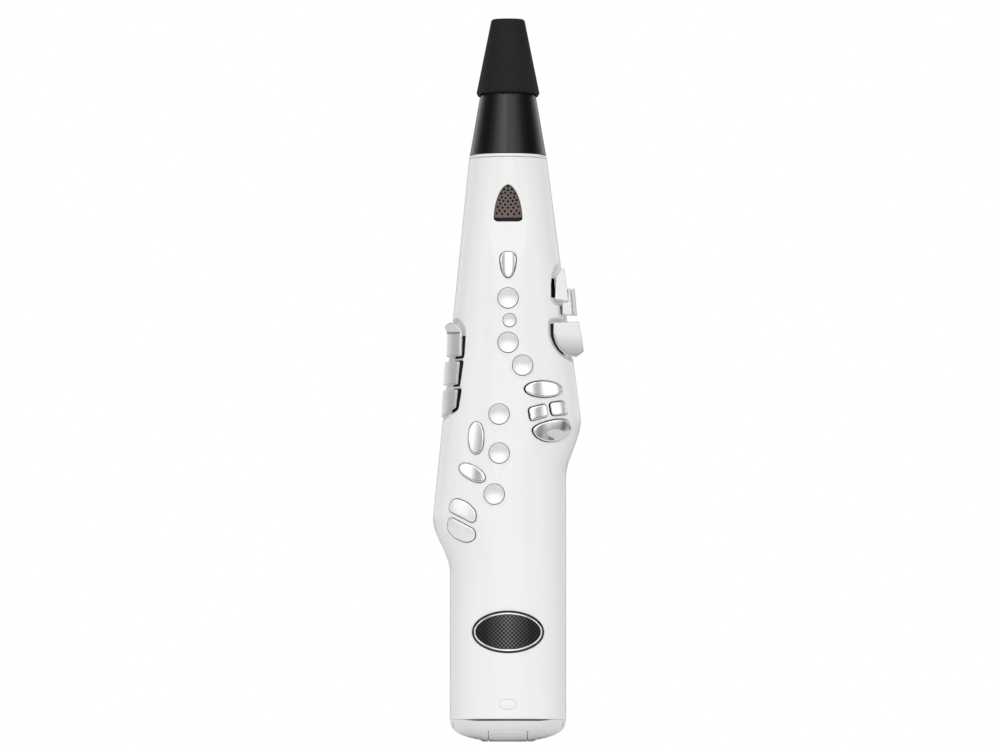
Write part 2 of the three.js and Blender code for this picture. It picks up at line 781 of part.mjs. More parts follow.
function grille() {
  const sides = between(0, 1, archSteps).map((share) => [archHalf(share), share]);
  const shares = [...sides, ...sides.slice(0, -1).reverse().map(([u, v]) => [-u, v])];
  const outline = polygon(shares, grilleWidth, grilleHeight);
  const middle = grilleFoot + grilleHeight / 2;
  const seat = seatAt(0, surfaceAt(0, middle, -1) + grilleSink, grilleFoot);
  const holes = [];
  const rise = grillePitch * Math.sqrt(3) / 2;
  const rows = Math.floor((grilleHeight - grilleBorder) / rise);
  for (let row = 0; row < rows; row++) {
    const v = grilleBorder + grilleHoleRadius + row * rise;
    const room = archHalf(v / grilleHeight) * grilleWidth - grilleBorder - grilleHoleRadius;
    const offset = (row % 2) * grillePitch / 2;
    const most = Math.floor((room - offset) / grillePitch);
    if (room < offset) continue;
    const places = new Set(between(0, most, Math.max(most, 1)).flatMap((n) => {
      const u = offset + n * grillePitch;
      return [u, -u];
    }));
    places.forEach((u) => {
      holes.push(moved(ellipse(grilleHoleRadius * 2, grilleHoleRadius * 2, 2, holeSides), u, v).reverse());
    });
  }
  add("grille", inPlace(prism(outline, -grilleThickness, 0, holes), seat), "mesh", seat);
  cuts.push(inPlace(prism(grown(outline, seam), -wall * 3, wall * 2), seat));
}

function speaker() {
  const level = grilleFoot + grilleHeight / 2;
  const rims = [-1, 0, 1].map((s) => surfaceAt(speakerRadius, level + s * speakerRadius, -1, -wall));
  const seat = seatAt(0, Math.max(...rims) + seam, level);
  const cone = lathe([
    [0, -speakerDepth],
    [speakerRadius * coneShare, -speakerDepth],
    [speakerRadius * coneShare, -speakerDepth * coneShare],
    [speakerRadius, -speakerLip],
    [speakerRadius, 0],
    [speakerRadius - speakerLip, 0],
    [speakerRadius * coneShare, -speakerLip],
    [0, -speakerLip],
  ]);
  add("speaker", inPlace(cone, seat), "rubber", seat);
}

function badge() {
  const seat = frontSeat(0, badgeLevel);
  const outline = ellipse(badgeWidth, badgeHeight, 2, roundSides);
  const window = grown(outline, -badgeRimWidth);
  add("badge_rim", inlay(outline, seat, badgeRise, [window.slice().reverse()]), "chrome", seat);
  add("badge_field", inlay(grown(window, -seam), seat, badgeRise - seam), "darkField", seat);
  pocket(outline, seat);
}

// Display, dial, thumb rest and octave keys on the back
function backControls() {
  const display = backSeat(0, displayLevel);
  const pane = rectangle(displayWidth, displayHeight, displayCorner);
  add("display_window", inlay(pane, display, displayRise), "glass", display);
  pocket(pane, display);

  const rest = backSeat(0, thumbRestLevel);
  const disc = ellipse(thumbRestDiameter, thumbRestDiameter);
  add("thumb_rest", inlay(disc, rest, thumbRestRise), "rubber", rest);
  pocket(disc, rest);

  const pad = rectangle(octaveWidth, octaveHeight, octaveCorner);
  const away = thumbRestDiameter / 2 + octaveGap + octaveHeight / 2;
  const stop = mainBoardDepth + boardThickness;
  crownKey("octave_key_up", pad, backSeat(0, thumbRestLevel + away), octaveRise, "chrome", stop);
  crownKey("octave_key_down", pad, backSeat(0, thumbRestLevel - away), octaveRise, "chrome", stop);
}

function dial() {
  const seat = backSeat(0, dialLevel);
  const outline = Array.from({ length: dialFlutes * 2 }, (_, i) => {
    const angle = (i / dialFlutes) * Math.PI;
    const radius = dialRadius - (i % 2) * dialFluteDepth;
    return new THREE.Vector2(Math.cos(angle) * radius, Math.sin(angle) * radius);
  });
  const stop = mainBoardDepth + boardThickness + encoderDepth;
  const shaft = rod(dialShaftRadius, seam - runTo(seat, stop), seam * 2, smallSides);
  const knob = inPlace(prism(outline, seam, dialHeight), seat).add(inPlace(shaft, seat));
  add("select_dial", knob, "rubber", seat);
  cuts.push(inPlace(rod(dialShaftRadius + seam, -wall * 2, wall, smallSides), seat));
  const half = encoderWidth / 2;
  add("dial_encoder",
    box(-half, half, stop - encoderDepth, stop, dialLevel - half, dialLevel + half), "steel");
}

// Things drawn in the plane of Y and Z, with their thickness along X
function acrossSeat(y, z) {
  const seat = new THREE.Object3D();
  const turn = new THREE.Matrix4().makeBasis(
    new THREE.Vector3(0, 1, 0), new THREE.Vector3(0, 0, 1), new THREE.Vector3(1, 0, 0),
  );
  seat.quaternion.setFromRotationMatrix(turn);
  seat.position.set(0, y, z);
  seat.updateMatrix();
  return seat;
}

const eyeReach = surfaceAt(0, lugLevel, 1) + lugReach;
const eyeWall = eyeRadius + lugThickness;

function strapLug() {
  const seat = backSeat(0, lugLevel);
  const base = rectangle(lugBaseWidth, lugBaseHeight, baseCorner);
  const eye = acrossSeat(eyeReach, lugLevel);
  const half = lugThickness / 2;
  const fin = box(-half, half, seat.position.y, eyeReach, lugLevel - eyeWall, lugLevel + eyeWall);
  const lug = inlay(base, seat, baseRise)
    .add(fin)
    .add(inPlace(rod(eyeWall, -half, half), eye))
    .subtract(inPlace(rod(eyeRadius, -lugThickness, lugThickness, ovalSides), eye));
  add("strap_lug", lug, "chrome", seat);
  pocket(base, seat);

  const ring = new THREE.Object3D();
  ring.position.set(0, eyeReach, lugLevel - eyeRadius + seam + ringWireRadius);
  ring.rotation.set(Math.PI / 2, 0, 0);
  ring.updateMatrix();
  const torus = new THREE.TorusGeometry(ringRadius, ringWireRadius, stemSides, roundSides);
  add("strap_ring", inPlace(torus.translate(0, -ringRadius, 0), ring), "steel", ring);
}

function thumbHook() {
  const seat = backSeat(0, hookLevel);
  const base = rectangle(hookWidth, hookBaseHeight, baseCorner);
  const outer = hookInnerRadius + hookThickness;
  const angles = between(Math.PI, Math.PI - hookTurn, hookSteps);
  const arc = (radius) => angles.map((a) => new THREE.Vector2(Math.cos(a) * radius, Math.sin(a) * radius));
  const band = [...arc(hookInnerRadius), ...arc(outer).reverse()];
  const curve = inPlace(prism(band, -hookWidth / 2, hookWidth / 2),
    acrossSeat(seat.position.y + outer, hookLevel));
  add("thumb_hook", inlay(base, seat, baseRise).add(curve), "rubber", seat);
  pocket(base, seat);
}

// A socket with a blind hole, and the hole in the casing that it faces out of
function socket(name, x, outline, bore) {
  const seat = backSeat(x, socketLevel);
  const body = inPlace(prism(outline, -socketDepth, -plateSink), seat)
    .subtract(inPlace(prism(bore, -socketBlind, wall), seat));
  add(name, body, "steel", seat);
  cuts.push(inPlace(prism(grown(outline, seam), -wall * 3, wall * 2), seat));
}

function sockets() {
  socket("usb_socket", -socketAcross, rectangle(usbWidth, usbHeight, usbHeight / 3),
    rectangle(usbSlotWidth, usbSlotHeight, usbSlotHeight / 3));
  socket("phones_socket", socketAcross, ellipse(phonesRadius * 2, phonesRadius * 2),
    ellipse(phonesBore * 2, phonesBore * 2, 2, smallSides));
}

// Screws from the back, through a boss of the back shell into one of the front shell
function screws() {
  const places = [
    [-screwUpperAcross, screwUpperLevel], [screwUpperAcross, screwUpperLevel],
    [-screwLowerAcross, screwLowerLevel], [screwLowerAcross, screwLowerLevel],
  ];
  places.forEach(([x, z], i) => {
    const seat = backSeat(x, z);
    const headFoot = -screwSink - screwHeadHeight;
    const tip = -runTo(seat, -screwBite);
    const column = rod(bossRadius, -backDepth - frontDepth, overrun, smallSides);
    bosses.push(inPlace(column, seat).intersect(casingBody(-seam)));
    cuts.push(inPlace(lathe([
      [0, tip - seam],
      [screwShankRadius + seam, tip - seam],
      [screwShankRadius + seam, headFoot - seam],
      [screwHeadRadius + seam, headFoot - seam],
      [screwHeadRadius + seam, wall],
      [0, wall],
    ], smallSides), seat));
    const screw = lathe([
      [0, tip],
      [screwShankRadius, tip],
      [screwShankRadius, headFoot],
      [screwHeadRadius, headFoot],
      [screwHeadRadius, -screwSink],
      [0, -screwSink],
    ], smallSides);
    add("shell_screw_" + (i + 1), inPlace(screw, seat), "steel", seat);
  });
}

// Boards that span the casing in its grooves, with what stands on them
function boards() {
  const across = leftFlareHalfWidth + rightFlareHalfWidth;
  const board = (face, foot, top) => casingBody(-wall - seam, foot, top)
    .intersect(box(-across, across, face, face + boardThickness, foot - overrun, top + overrun));
  add("key_board", board(keyBoardDepth, keyBoardTop - keyBoardLength, keyBoardTop), "board");
  add("main_board", board(mainBoardDepth, mainBoardTop - mainBoardLength, mainBoardTop), "board");
  const half = sensorSize / 2;
  add("breath_sensor", box(-half, half, mainBoardDepth - sensorHeight, mainBoardDepth,
    sensorLevel - half, sensorLevel + half), "rubber");
}

// Collar, neck, air tube, mouthpiece and its cap
function collarAndNeck() {
  const foot = casingHeight + seam;
  const neckFoot = foot + collarHeight;
  const inner = collarHalfWidth - wall;
  add("collar_ring", solidOf(lathe([
    [inner, foot], [collarHalfWidth, foot], [collarHalfWidth, neckFoot], [inner, neckFoot], [inner, foot],
  ])), "white");

  const spigot = inner - seam;
  const neck = lathe([
    [spigot - spigotWall, neckFoot - spigotDrop],
    [spigot, neckFoot - spigotDrop],
    [spigot, neckFoot],
    [neckFootRadius, neckFoot],
    [neckTopRadius, neckTop],
    [stemRadius + seam, neckTop],
    [stemRadius + seam, neckTop - neckPlate],
    [neckTopRadius - wall, neckTop - neckPlate],
    [spigot - spigotWall, neckFoot],
    [spigot - spigotWall, neckFoot - spigotDrop],
  ]);
  add("neck", solidOf(neck), "glossBlack");
}

function roundSection(width, depth) {
  return {
    left: width / 2, right: width / 2, front: depth / 2, back: depth / 2, frontPower: 2, backPower: 2,
  };
}

function mouthpiece() {
  const stemFoot = neckTop - stemLength;
  const flangeTop = neckTop + flangeHeight;
  const tip = neckTop + mouthpieceLength;
  const base = lathe([
    [0, stemFoot], [stemRadius, stemFoot], [stemRadius, neckTop], [flangeRadius, neckTop],
    [flangeRadius, flangeTop], [0, flangeTop],
  ]);
  const beak = beakShares.map((share) => {
    const width = THREE.MathUtils.lerp(stemRadius * 2, mouthpieceTipWidth, share);
    const depth = THREE.MathUtils.lerp(stemRadius * 2, mouthpieceTipDepth, share);
    return ringOf(roundSection(width, depth), THREE.MathUtils.lerp(flangeTop - seam, tip, share));
  });
  const bore = rod(airBore / 2, stemFoot - overrun, tip + overrun, tubeSides);
  add("mouthpiece", solidOf(base).add(solidOf(loft(beak))).subtract(solidOf(bore)), "rubber");

  const sensorTop = sensorLevel + sensorSize / 2 + seam;
  const depth = mainBoardDepth - tubeRadius - seam * 2;
  const path = new THREE.CatmullRomCurve3([
    new THREE.Vector3(0, 0, stemFoot - seam),
    new THREE.Vector3(0, 0, casingHeight),
    new THREE.Vector3(0, depth, mainBoardTop),
    new THREE.Vector3(0, depth, sensorTop),
  ]);
  const ring = (radius) => ellipse(radius * 2, radius * 2, 2, tubeSides);
  const shape = new THREE.Shape(ring(tubeRadius));
  shape.holes = [new THREE.Path(ring(tubeBore).reverse())];
  const tube = new THREE.ExtrudeGeometry(shape, { extrudePath: path, steps: tubeSteps });
  add("air_tube", solidOf(tube), "rubber");
}

// Width and depth of the cap at a share of its height, less an inset on every side
function capRing(share, inset, height, scale = 1) {
  const width = THREE.MathUtils.lerp(capFootRadius * 2, capTipWidth, share) * scale - inset * 2;
  const depth = THREE.MathUtils.lerp(capFootRadius * 2, capTipDepth, share) * scale - inset * 2;
  return ringOf(roundSection(width, depth), height);
}

function mouthpieceCap() {
  const shoulder = capTop - capCrown;
  const levelOf = (share) => THREE.MathUtils.lerp(capFoot, shoulder, share);
  const outer = loft([
    capRing(0, 0, capFoot),
    capRing(capWaistShare, 0, levelOf(capWaistShare)),
    capRing(1, 0, shoulder),
    capRing(1, 0, capTop, capCrownShare),
  ]);
  const ledge = neckTop + seam;
  const ledgeShare = (ledge - capFoot) / (shoulder - capFoot);
  const inset = capWall * 2;
  const room = loft([
    capRing(ledgeShare, inset, ledge - seam),
    capRing(ledgeShare, inset, ledge),
    capRing(1, inset, shoulder),
  ]);
  const mouth = loft([capRing(0, capWall, capFoot - overrun), capRing(0, capWall, ledge)]);
  add("mouthpiece_cap", solidOf(outer).subtract(solidOf(room)).subtract(solidOf(mouth)), "cap");
}

function powerButton() {
  const seat = frontSeat(0, buttonLevel);
  const stop = -cellDepth - cellRadius - sleeveWall - seam;
  crownKey("power_button", ellipse(buttonWidth, buttonHeight), seat, buttonRise, "white", stop, buttonTravel);
}

// Battery cell in its sleeve, which a bulkhead holds in the lower tube
function battery() {
  const cell = new THREE.Object3D();
  cell.position.set(0, -cellDepth, wall + cellLift);
  const radius = cellRadius;
  cell.updateMatrix();
  add("battery_cell", inPlace(lathe([
    [0, 0], [radius, 0], [radius, cellLength], [radius * terminalShare, cellLength],
    [radius * terminalShare, cellLength + seam * 2], [0, cellLength + seam * 2],
  ]), cell), "cell", cell);

  const inner = cellRadius + seam;
  const outer = inner + sleeveWall;
  const top = sleeveFoot + sleeveLength;
  const sleeve = new THREE.Object3D();
  sleeve.position.set(0, -cellDepth, 0);
  sleeve.updateMatrix();
  const tube = inPlace(lathe([
    [inner, sleeveFoot], [outer, sleeveFoot], [outer, top + seam], [inner, top + seam], [inner, sleeveFoot],
  ]), sleeve);
  const roof = top + bulkheadThickness;
  const bulkhead = casingBody(-wall - seam, top, roof)
    .subtract(inPlace(rod(inner * bulkheadHoleShare, top - overrun, roof + overrun), sleeve));
  add("battery_sleeve", tube.add(bulkhead), "rubber", sleeve);
}

// Domed end with the battery door, which turns down on a pin at its back edge
function endCap() {
  const dome = endBody(0).subtract(endBody(wall));
  const reach = frontDepth + overrun;
  const side = doorHalfWidth - doorGap;
  const hinge = acrossSeat(doorHingeDepth, knuckleRadius);
  const bore = inPlace(rod(pinRadius + seam, -tubeHalfWidth, tubeHalfWidth, smallSides), hinge);
  const knuckle = inPlace(rod(knuckleRadius, -side, side, smallSides), hinge);
  const panel = dome.intersect(box(-side, side, -reach, doorHingeDepth, -overrun, doorHeight - doorGap));
  const door = panel.add(knuckle).intersect(endBody(0)).subtract(bore);
  const edge = doorHingeDepth + knuckleRadius + doorGap;
  const opening = box(-doorHalfWidth, doorHalfWidth, -reach, edge, -overrun, doorHeight);
  const ears = [-1, 1].map((s) => {
    const from = s * doorHalfWidth;
    const to = s * (doorHalfWidth + bossWidth);
    const deep = knuckleRadius + doorGap;
    return box(Math.min(from, to), Math.max(from, to), doorHingeDepth - deep, doorHingeDepth + deep,
      0, knuckleRadius + deep);
  });
  const cap = dome.subtract(opening).add(ears[0]).add(ears[1]).intersect(endBody(0)).subtract(bore);
  add("end_cap", cap, "white");
  add("battery_door", door, "white", hinge);
  const pin = rod(pinRadius, -doorHalfWidth - bossWidth, doorHalfWidth + bossWidth, smallSides);
  add("door_pin", inPlace(pin, hinge), "steel", hinge);
}

function shells() {
  const body = bosses.reduce((all, boss) => all.add(boss),
    casingBody(0).subtract(casingBody(-wall, endHeight - overrun, casingHeight + overrun)));
  const cut = cuts.reduce((all, cutter) => all.subtract(cutter), body);
  const across = leftFlareHalfWidth + rightFlareHalfWidth;
  const low = endHeight - overrun;
  const high = casingHeight + overrun;
  const gap = seam / 2;
  add("front_shell", cut.intersect(box(-across, across, -frontDepth * 2, -gap, low, high)), "white");
  add("back_shell", cut.intersect(box(-across, across, gap, backDepth * 2, low, high)), "white");
}

frontKeys();
tableKeys();
pinkyKeys();
sideKeys();
palmKeys();
grille();
speaker();
badge();
backControls();
dial();
strapLug();
thumbHook();
sockets();
screws();
boards();
collarAndNeck();
mouthpiece();
mouthpieceCap();
powerButton();
battery();
endCap();
shells();

const origin = new THREE.Vector3(0, eyeReach, lugLevel);
part.children.forEach((mesh) => mesh.position.sub(origin));

export default part;
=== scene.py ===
import math

import bmesh
import bpy
import numpy as np
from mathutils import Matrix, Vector, geometry


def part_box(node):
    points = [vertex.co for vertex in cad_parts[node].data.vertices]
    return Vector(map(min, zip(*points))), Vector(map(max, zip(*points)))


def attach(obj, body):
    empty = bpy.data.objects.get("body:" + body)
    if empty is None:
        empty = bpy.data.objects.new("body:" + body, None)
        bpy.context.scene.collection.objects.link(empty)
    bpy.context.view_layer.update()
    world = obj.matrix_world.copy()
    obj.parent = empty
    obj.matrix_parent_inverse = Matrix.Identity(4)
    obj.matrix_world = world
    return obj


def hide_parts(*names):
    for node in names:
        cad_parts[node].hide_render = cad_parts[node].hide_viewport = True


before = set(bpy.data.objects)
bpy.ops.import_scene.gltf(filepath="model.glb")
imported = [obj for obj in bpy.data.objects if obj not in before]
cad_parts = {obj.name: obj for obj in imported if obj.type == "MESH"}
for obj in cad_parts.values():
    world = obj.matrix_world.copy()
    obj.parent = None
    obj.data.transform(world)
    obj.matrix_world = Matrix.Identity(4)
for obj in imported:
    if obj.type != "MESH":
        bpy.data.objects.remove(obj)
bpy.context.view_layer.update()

# The casing, in millimetres above the foot, with the axis at zero
MM = 0.001
FOOT_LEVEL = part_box("end_cap")[0].z
AXIS_DEPTH = (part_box("front_shell")[1].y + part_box("back_shell")[0].y) / 2
CASING_HEIGHT = 408.0
SHELL_TOP = 407.3
COLLAR_HALF = 27.3
TUBE_HALF = 40.6
SHOULDER = 330.0
END_HEIGHT = 15.0
FRONT_DEPTH = 30.0
BACK_DEPTH = 28.0
FRONT_ROUNDNESS = 2.3
BACK_ROUNDNESS = 2.7
SEAM = 0.3
SEAM_DEPTH = 2.4
WALL_DEPTH = 3.2
KEY_GAP = 0.35
LIP = 0.9
# Each flare: half width, the level where it is widest and the level where it ends
LEFT_FLARE = (52.5, 156.0, 118.5)
RIGHT_FLARE = (51.1, 225.0, 184.0)

# How fine the meshes are, and where the casing's chart is cut open
SKIN_STEP = 2.4
FINE_STEP = 0.9
LINE_STEP = 0.5
OUTLINE_STEP = 0.55
ROUND_SIDES = 72
CHART_SCALE = 38.0
CUT_ANGLE = math.radians(25)
CHART_ENDS = (CUT_ANGLE * CHART_SCALE, (CUT_ANGLE + math.tau) * CHART_SCALE)


def to_frame(points):
    """From millimetres above the foot to the frame's metres."""
    points = np.asarray(points, float).reshape(-1, 3)
    return points * MM + np.array([0, AXIS_DEPTH, FOOT_LEVEL])


def turns(count):
    """Angles at an even distance around a full turn."""
    return np.arange(count) / count * math.tau


def smooth(value):
    """An even step from 0 to 1."""
    t = np.clip(value, 0, 1)
    return t * t * (3 - 2 * t)


def mix(a, b, share):
    """A value between two others."""
    return a + (b - a) * share


# The casing's surface
def flare_at(z, flare):
    """Half width of one side of the casing at each height."""
    half, top, foot = flare
    above = COLLAR_HALF + (half - COLLAR_HALF) * (CASING_HEIGHT - z) / (CASING_HEIGHT - top)
    below = mix(TUBE_HALF, half, smooth((z - foot) / (top - foot)))
    return np.where(z >= top, above, below)


def sections(x, y, z, out=0.0):
    """Half width, depth and roundness of the section that each point belongs to."""
    share = smooth((CASING_HEIGHT - z) / (CASING_HEIGHT - SHOULDER))
    half = np.where(x < 0, flare_at(z, LEFT_FLARE), flare_at(z, RIGHT_FLARE)) + out
    deep = np.where(y < 0, mix(COLLAR_HALF, FRONT_DEPTH, share), mix(COLLAR_HALF, BACK_DEPTH, share)) + out
    power = np.where(y < 0, mix(2, FRONT_ROUNDNESS, share), mix(2, BACK_ROUNDNESS, share))
    return half, deep, power


def section_level(x, y, z, out=0.0):
    """Under 1 inside the section that each point belongs to, over 1 outside it; also its roundness."""
    half, deep, power = sections(x, y, z, out)
    return (np.abs(x) / half) ** power + (np.abs(y) / deep) ** power, power


def skin(angle, z, out=0.0):
    """Points of the casing's surface at an angle about its axis."""
    angle, z = np.asarray(angle, float), np.asarray(z, float)
    x, y = np.cos(angle), np.sin(angle)
    value, power = section_level(x, y, z, out)
    reach = value ** (-1 / power)
    return np.stack([x * reach, y * reach, z], -1)


def skin_normals(angle, z):
    step = 0.004
    around = skin(angle + step, z) - skin(angle - step, z)
    along = skin(angle, z + 0.3) - skin(angle, z - 0.3)
    normal = np.cross(around, along)
    return normal / np.linalg.norm(normal, axis=-1, keepdims=True)


def surface_at(x, z, side, out=0.0):
    """How far in front of the axis, or behind it, the surface lies."""
    x, z = np.asarray(x, float), np.asarray(z, float)
    half, deep, power = sections(x, np.full_like(x, side), z, out)
    left = np.clip(1 - (np.abs(x) / half) ** power, 0, 1)
    return side * deep * left ** (1 / power)


def frontness(x, y, start, span):
    """From 0 at the sides and back to 1 at the front."""
    return smooth((-y / np.maximum(np.hypot(x, y), 1e-6) - start) / span)


class Seat:
    """A frame on the casing: u across, v up and w out."""

    def __init__(self, x, z, side=-1, turn=0.0):
        self.at = np.array([x, float(surface_at(x, z, side)), z])
        spin = math.radians(turn) + (math.pi if side > 0 else 0)
        self.u = np.array([math.cos(spin), math.sin(spin), 0])
        self.w = np.array([math.sin(spin), -math.cos(spin), 0])

    def place(self, points):
        points = np.asarray(points, float)
        up = np.array([0, 0, 1.0])
        return self.at + points[..., :1] * self.u + points[..., 1:2] * up + points[..., 2:3] * self.w

    def lift(self, flat, height):
        """Points of a plane outline or face at their heights over the seat."""
        return self.place(np.column_stack([flat, np.broadcast_to(height, len(flat))]))

    def drop(self, outline):
        """How far out the casing's surface lies under each point of an outline."""
        outline = np.asarray(outline, float)
        probe = np.linspace(40, -45, 120)
        flat = self.lift(np.repeat(outline, len(probe), 0), np.tile(probe, len(outline)))
        value = section_level(*flat.T)[0].reshape(len(outline), len(probe))
        inside = value < 1
        first = np.where(inside.any(1), np.argmax(inside, 1), np.argmin(value, 1))
        low, high = probe[first], probe[np.maximum(first - 1, 0)]
        for _ in range(24):
            middle = (low + high) / 2
            within = section_level(*self.lift(outline, middle).T)[0] < 1
            low, high = np.where(within, middle, low), np.where(within, high, middle)
        return (low + high) / 2

    def on_skin(self, outline, out=0.0):
        """An outline laid on the casing's surface, or over it."""
        return self.lift(outline, self.drop(outline) + out)


# Outlines
def signed_power(value, power):
    """A power that keeps the sign."""
    return np.sign(value) * np.abs(value) ** power


def ellipse(width, height, power=2.0, sides=ROUND_SIDES):
    u, v = np.cos(turns(sides)), np.sin(turns(sides))
    return np.column_stack([width / 2 * signed_power(u, 2 / power), height / 2 * signed_power(v, 2 / power)])


def circle(diameter, sides=ROUND_SIDES):
    return ellipse(diameter, diameter, sides=sides)


def turned(points, degrees):
    c, s = math.cos(math.radians(degrees)), math.sin(math.radians(degrees))
    return np.column_stack([points[:, 0] * c - points[:, 1] * s, points[:, 0] * s + points[:, 1] * c])


def rounded(corners, radius, steps=7):
    """A closed outline with its corners rounded."""
    corners = np.asarray(corners, float)
    points = []
    for i, corner in enumerate(corners):
        before, after = corners[i - 1] - corner, corners[(i + 1) % len(corners)] - corner
        start = corner + before * min(radius / np.linalg.norm(before), 0.48)
        end = corner + after * min(radius / np.linalg.norm(after), 0.48)
        for t in np.linspace(0, 1, steps):
            points.append((1 - t) ** 2 * start + 2 * t * (1 - t) * corner + t * t * end)
    return np.array(points)


def spaced(outline, spacing):
    """The same closed outline with its points at an even distance."""
    closed = np.vstack([outline, outline[:1]])
    lengths = np.r_[0, np.cumsum(np.linalg.norm(np.diff(closed, axis=0), axis=1))]
    count = max(12, int(round(lengths[-1] / spacing)))
    marks = np.linspace(0, lengths[-1], count, endpoint=False)
    return np.column_stack([np.interp(marks, lengths, closed[:, i]) for i in range(2)])


def shares(table, width, height, left=0.0, foot=0.0):
    """An outline from a table of shares of its box."""
    return np.array(table) * (width, height) + (left, foot)


def grown(outline, by):
    """An outline moved outwards; it runs anticlockwise."""
    before = outline - np.roll(outline, 1, 0)
    after = np.roll(outline, -1, 0) - outline
    before /= np.linalg.norm(before, axis=1, keepdims=True)
    after /= np.linalg.norm(after, axis=1, keepdims=True)
    normal = np.column_stack([before[:, 1] + after[:, 1], -before[:, 0] - after[:, 0]])
    normal /= np.maximum(np.linalg.norm(normal, axis=1, keepdims=True), 1e-6)
    lean = np.maximum(normal[:, 0] * before[:, 1] - normal[:, 1] * before[:, 0], 0.5)
    return outline + normal * (by / lean)[:, None]


def cut_off(outline, limit):
    """The part of an outline on the near side of an upright line."""
    over = (outline[:, 0] - limit) * math.copysign(1, limit)
    kept = []
    for i in range(len(outline)):
        if over[i - 1] * over[i] < 0:
            kept.append(mix(outline[i - 1], outline[i], over[i - 1] / (over[i - 1] - over[i])))
        if over[i] <= 0:
            kept.append(outline[i])
    return np.array(kept)


def distance_to(points, outline):
    """Distance of each point to a closed outline, negative inside it."""
    points = np.asarray(points, float)
    best = np.full(len(points), 1e9)
    inside = np.zeros(len(points), bool)
    for a, b in zip(outline, np.roll(outline, -1, 0)):
        edge = b - a
        t = np.clip(((points - a) @ edge) / max(edge @ edge, 1e-12), 0, 1)
        best = np.minimum(best, np.linalg.norm(points - a - t[:, None] * edge, axis=1))
        crosses = (a[1] > points[:, 1]) != (b[1] > points[:, 1])
        rise = np.where(b[1] == a[1], 1e-12, b[1] - a[1])
        inside ^= crosses & (points[:, 0] < (b[0] - a[0]) * (points[:, 1] - a[1]) / rise + a[0])
    return np.where(inside, -best, best)


def new_object(name, points, faces, body, material, nodes=(), angle=35):
    """A smooth piece in the frame from points in millimetres and faces of their indices."""
    mesh = bpy.data.meshes.new(name)
    mesh.from_pydata(to_frame(points).tolist(), [], [list(map(int, f)) for f in faces])
    mesh.validate()
    bm = bmesh.new()
    bm.from_mesh(mesh)
    bmesh.ops.remove_doubles(bm, verts=bm.verts, dist=MM * 0.005)
    bmesh.ops.recalc_face_normals(bm, faces=bm.faces)
    bm.to_mesh(mesh)
    bm.free()
    mesh.update()
    mesh.shade_smooth()
    mesh.set_sharp_from_angle(angle=math.radians(angle))
    piece = bpy.data.objects.new(name, mesh)
    bpy.context.scene.collection.objects.link(piece)
    mesh.materials.append(material)
    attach(piece, body)
    if nodes:
        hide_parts(*nodes)
    return piece


def fillet_rings(radius, steps=4):
    """Distances from an edge with the depth that a rounded edge has there."""
    angles = np.linspace(0, math.pi / 2, steps + 1)
    return [(radius * (1 - math.cos(a)), radius * (1 - math.sin(a))) for a in angles]


def meshed(columns, rows):
    """Points at every crossing of columns and rows."""
    return np.stack(np.meshgrid(columns, rows), -1).reshape(-1, 2)


def triangulate(points, loops):
    """Triangles between points, along every loop; also says which given point each one is."""
    edges = [(int(a), int(b)) for loop in loops for a, b in zip(loop, np.roll(loop, -1))]
    out = geometry.delaunay_2d_cdt([Vector(p) for p in points], edges, [], 0, 1e-5)
    verts = np.array([tuple(v) for v in out[0]])
    origin = np.array([o[0] if o else -1 for o in out[3]])
    return verts, np.array([f for f in out[2] if len(f) == 3]), origin


# The shells: one chart of angle and height, triangulated around every opening
openings = []


def hole(seat, outline, fillet=0.45, depth=WALL_DEPTH, dip=0.0, slope=2.4, basin=None):
    """An opening with a rounded edge, which may lie in a soft basin; without a seat it is in the chart."""
    openings.append({"seat": seat, "outline": outline, "fillet": fillet, "depth": depth, "dip": dip,
                     "slope": slope, "basin": outline if basin is None else basin})


def to_chart(points):
    """Places in the chart of points of the casing."""
    angle = np.arctan2(points[:, 1], points[:, 0])
    angle = np.where(angle < CUT_ANGLE, angle + math.tau, angle)
    return np.column_stack([angle * CHART_SCALE, points[:, 2]])


def casing_points(marks):
    """Grid points of the casing's chart that keep clear of the openings, at the spacing each place needs."""
    low, high = CHART_ENDS
    rows = np.linspace(END_HEIGHT, SHELL_TOP, int((SHELL_TOP - END_HEIGHT) / SKIN_STEP) + 1)
    rows = np.sort(np.r_[rows, END_HEIGHT + LIP * np.array([0.05, 0.15, 0.35, 0.6, 1])])
    columns = np.linspace(low, high, int((high - low) / SKIN_STEP) + 1)
    patches = [(columns, rows)]
    for x0, x1, z0, z1, step in FINE_PATCHES:
        corners = np.array([[x, float(surface_at(x, z, -1)), z] for x in (x0, x1) for z in (z0, z1)])
        ends = to_chart(corners)[:, 0]
        span = np.arange(ends.min(), ends.max(), step)
        patches.append((span, np.arange(z0, z1, step)))
    grids = []
    for i, patch in enumerate(patches):
        grid = meshed(*patch)
        for span, rows in patches[i + 1:]:
            inside = np.all((grid > (span[0], rows[0])) & (grid < (span[-1], rows[-1])), 1)
            grid = grid[~inside]
        grids.append(grid)
    grid = np.vstack(grids)
    for loop, margin in marks:
        near = np.all((grid > loop.min(0) - margin) & (grid < loop.max(0) + margin), 1)
        gone = np.zeros(len(grid), bool)
        gone[near] = np.abs(distance_to(grid[near], loop)) < margin
        grid = grid[~gone]
    return grid


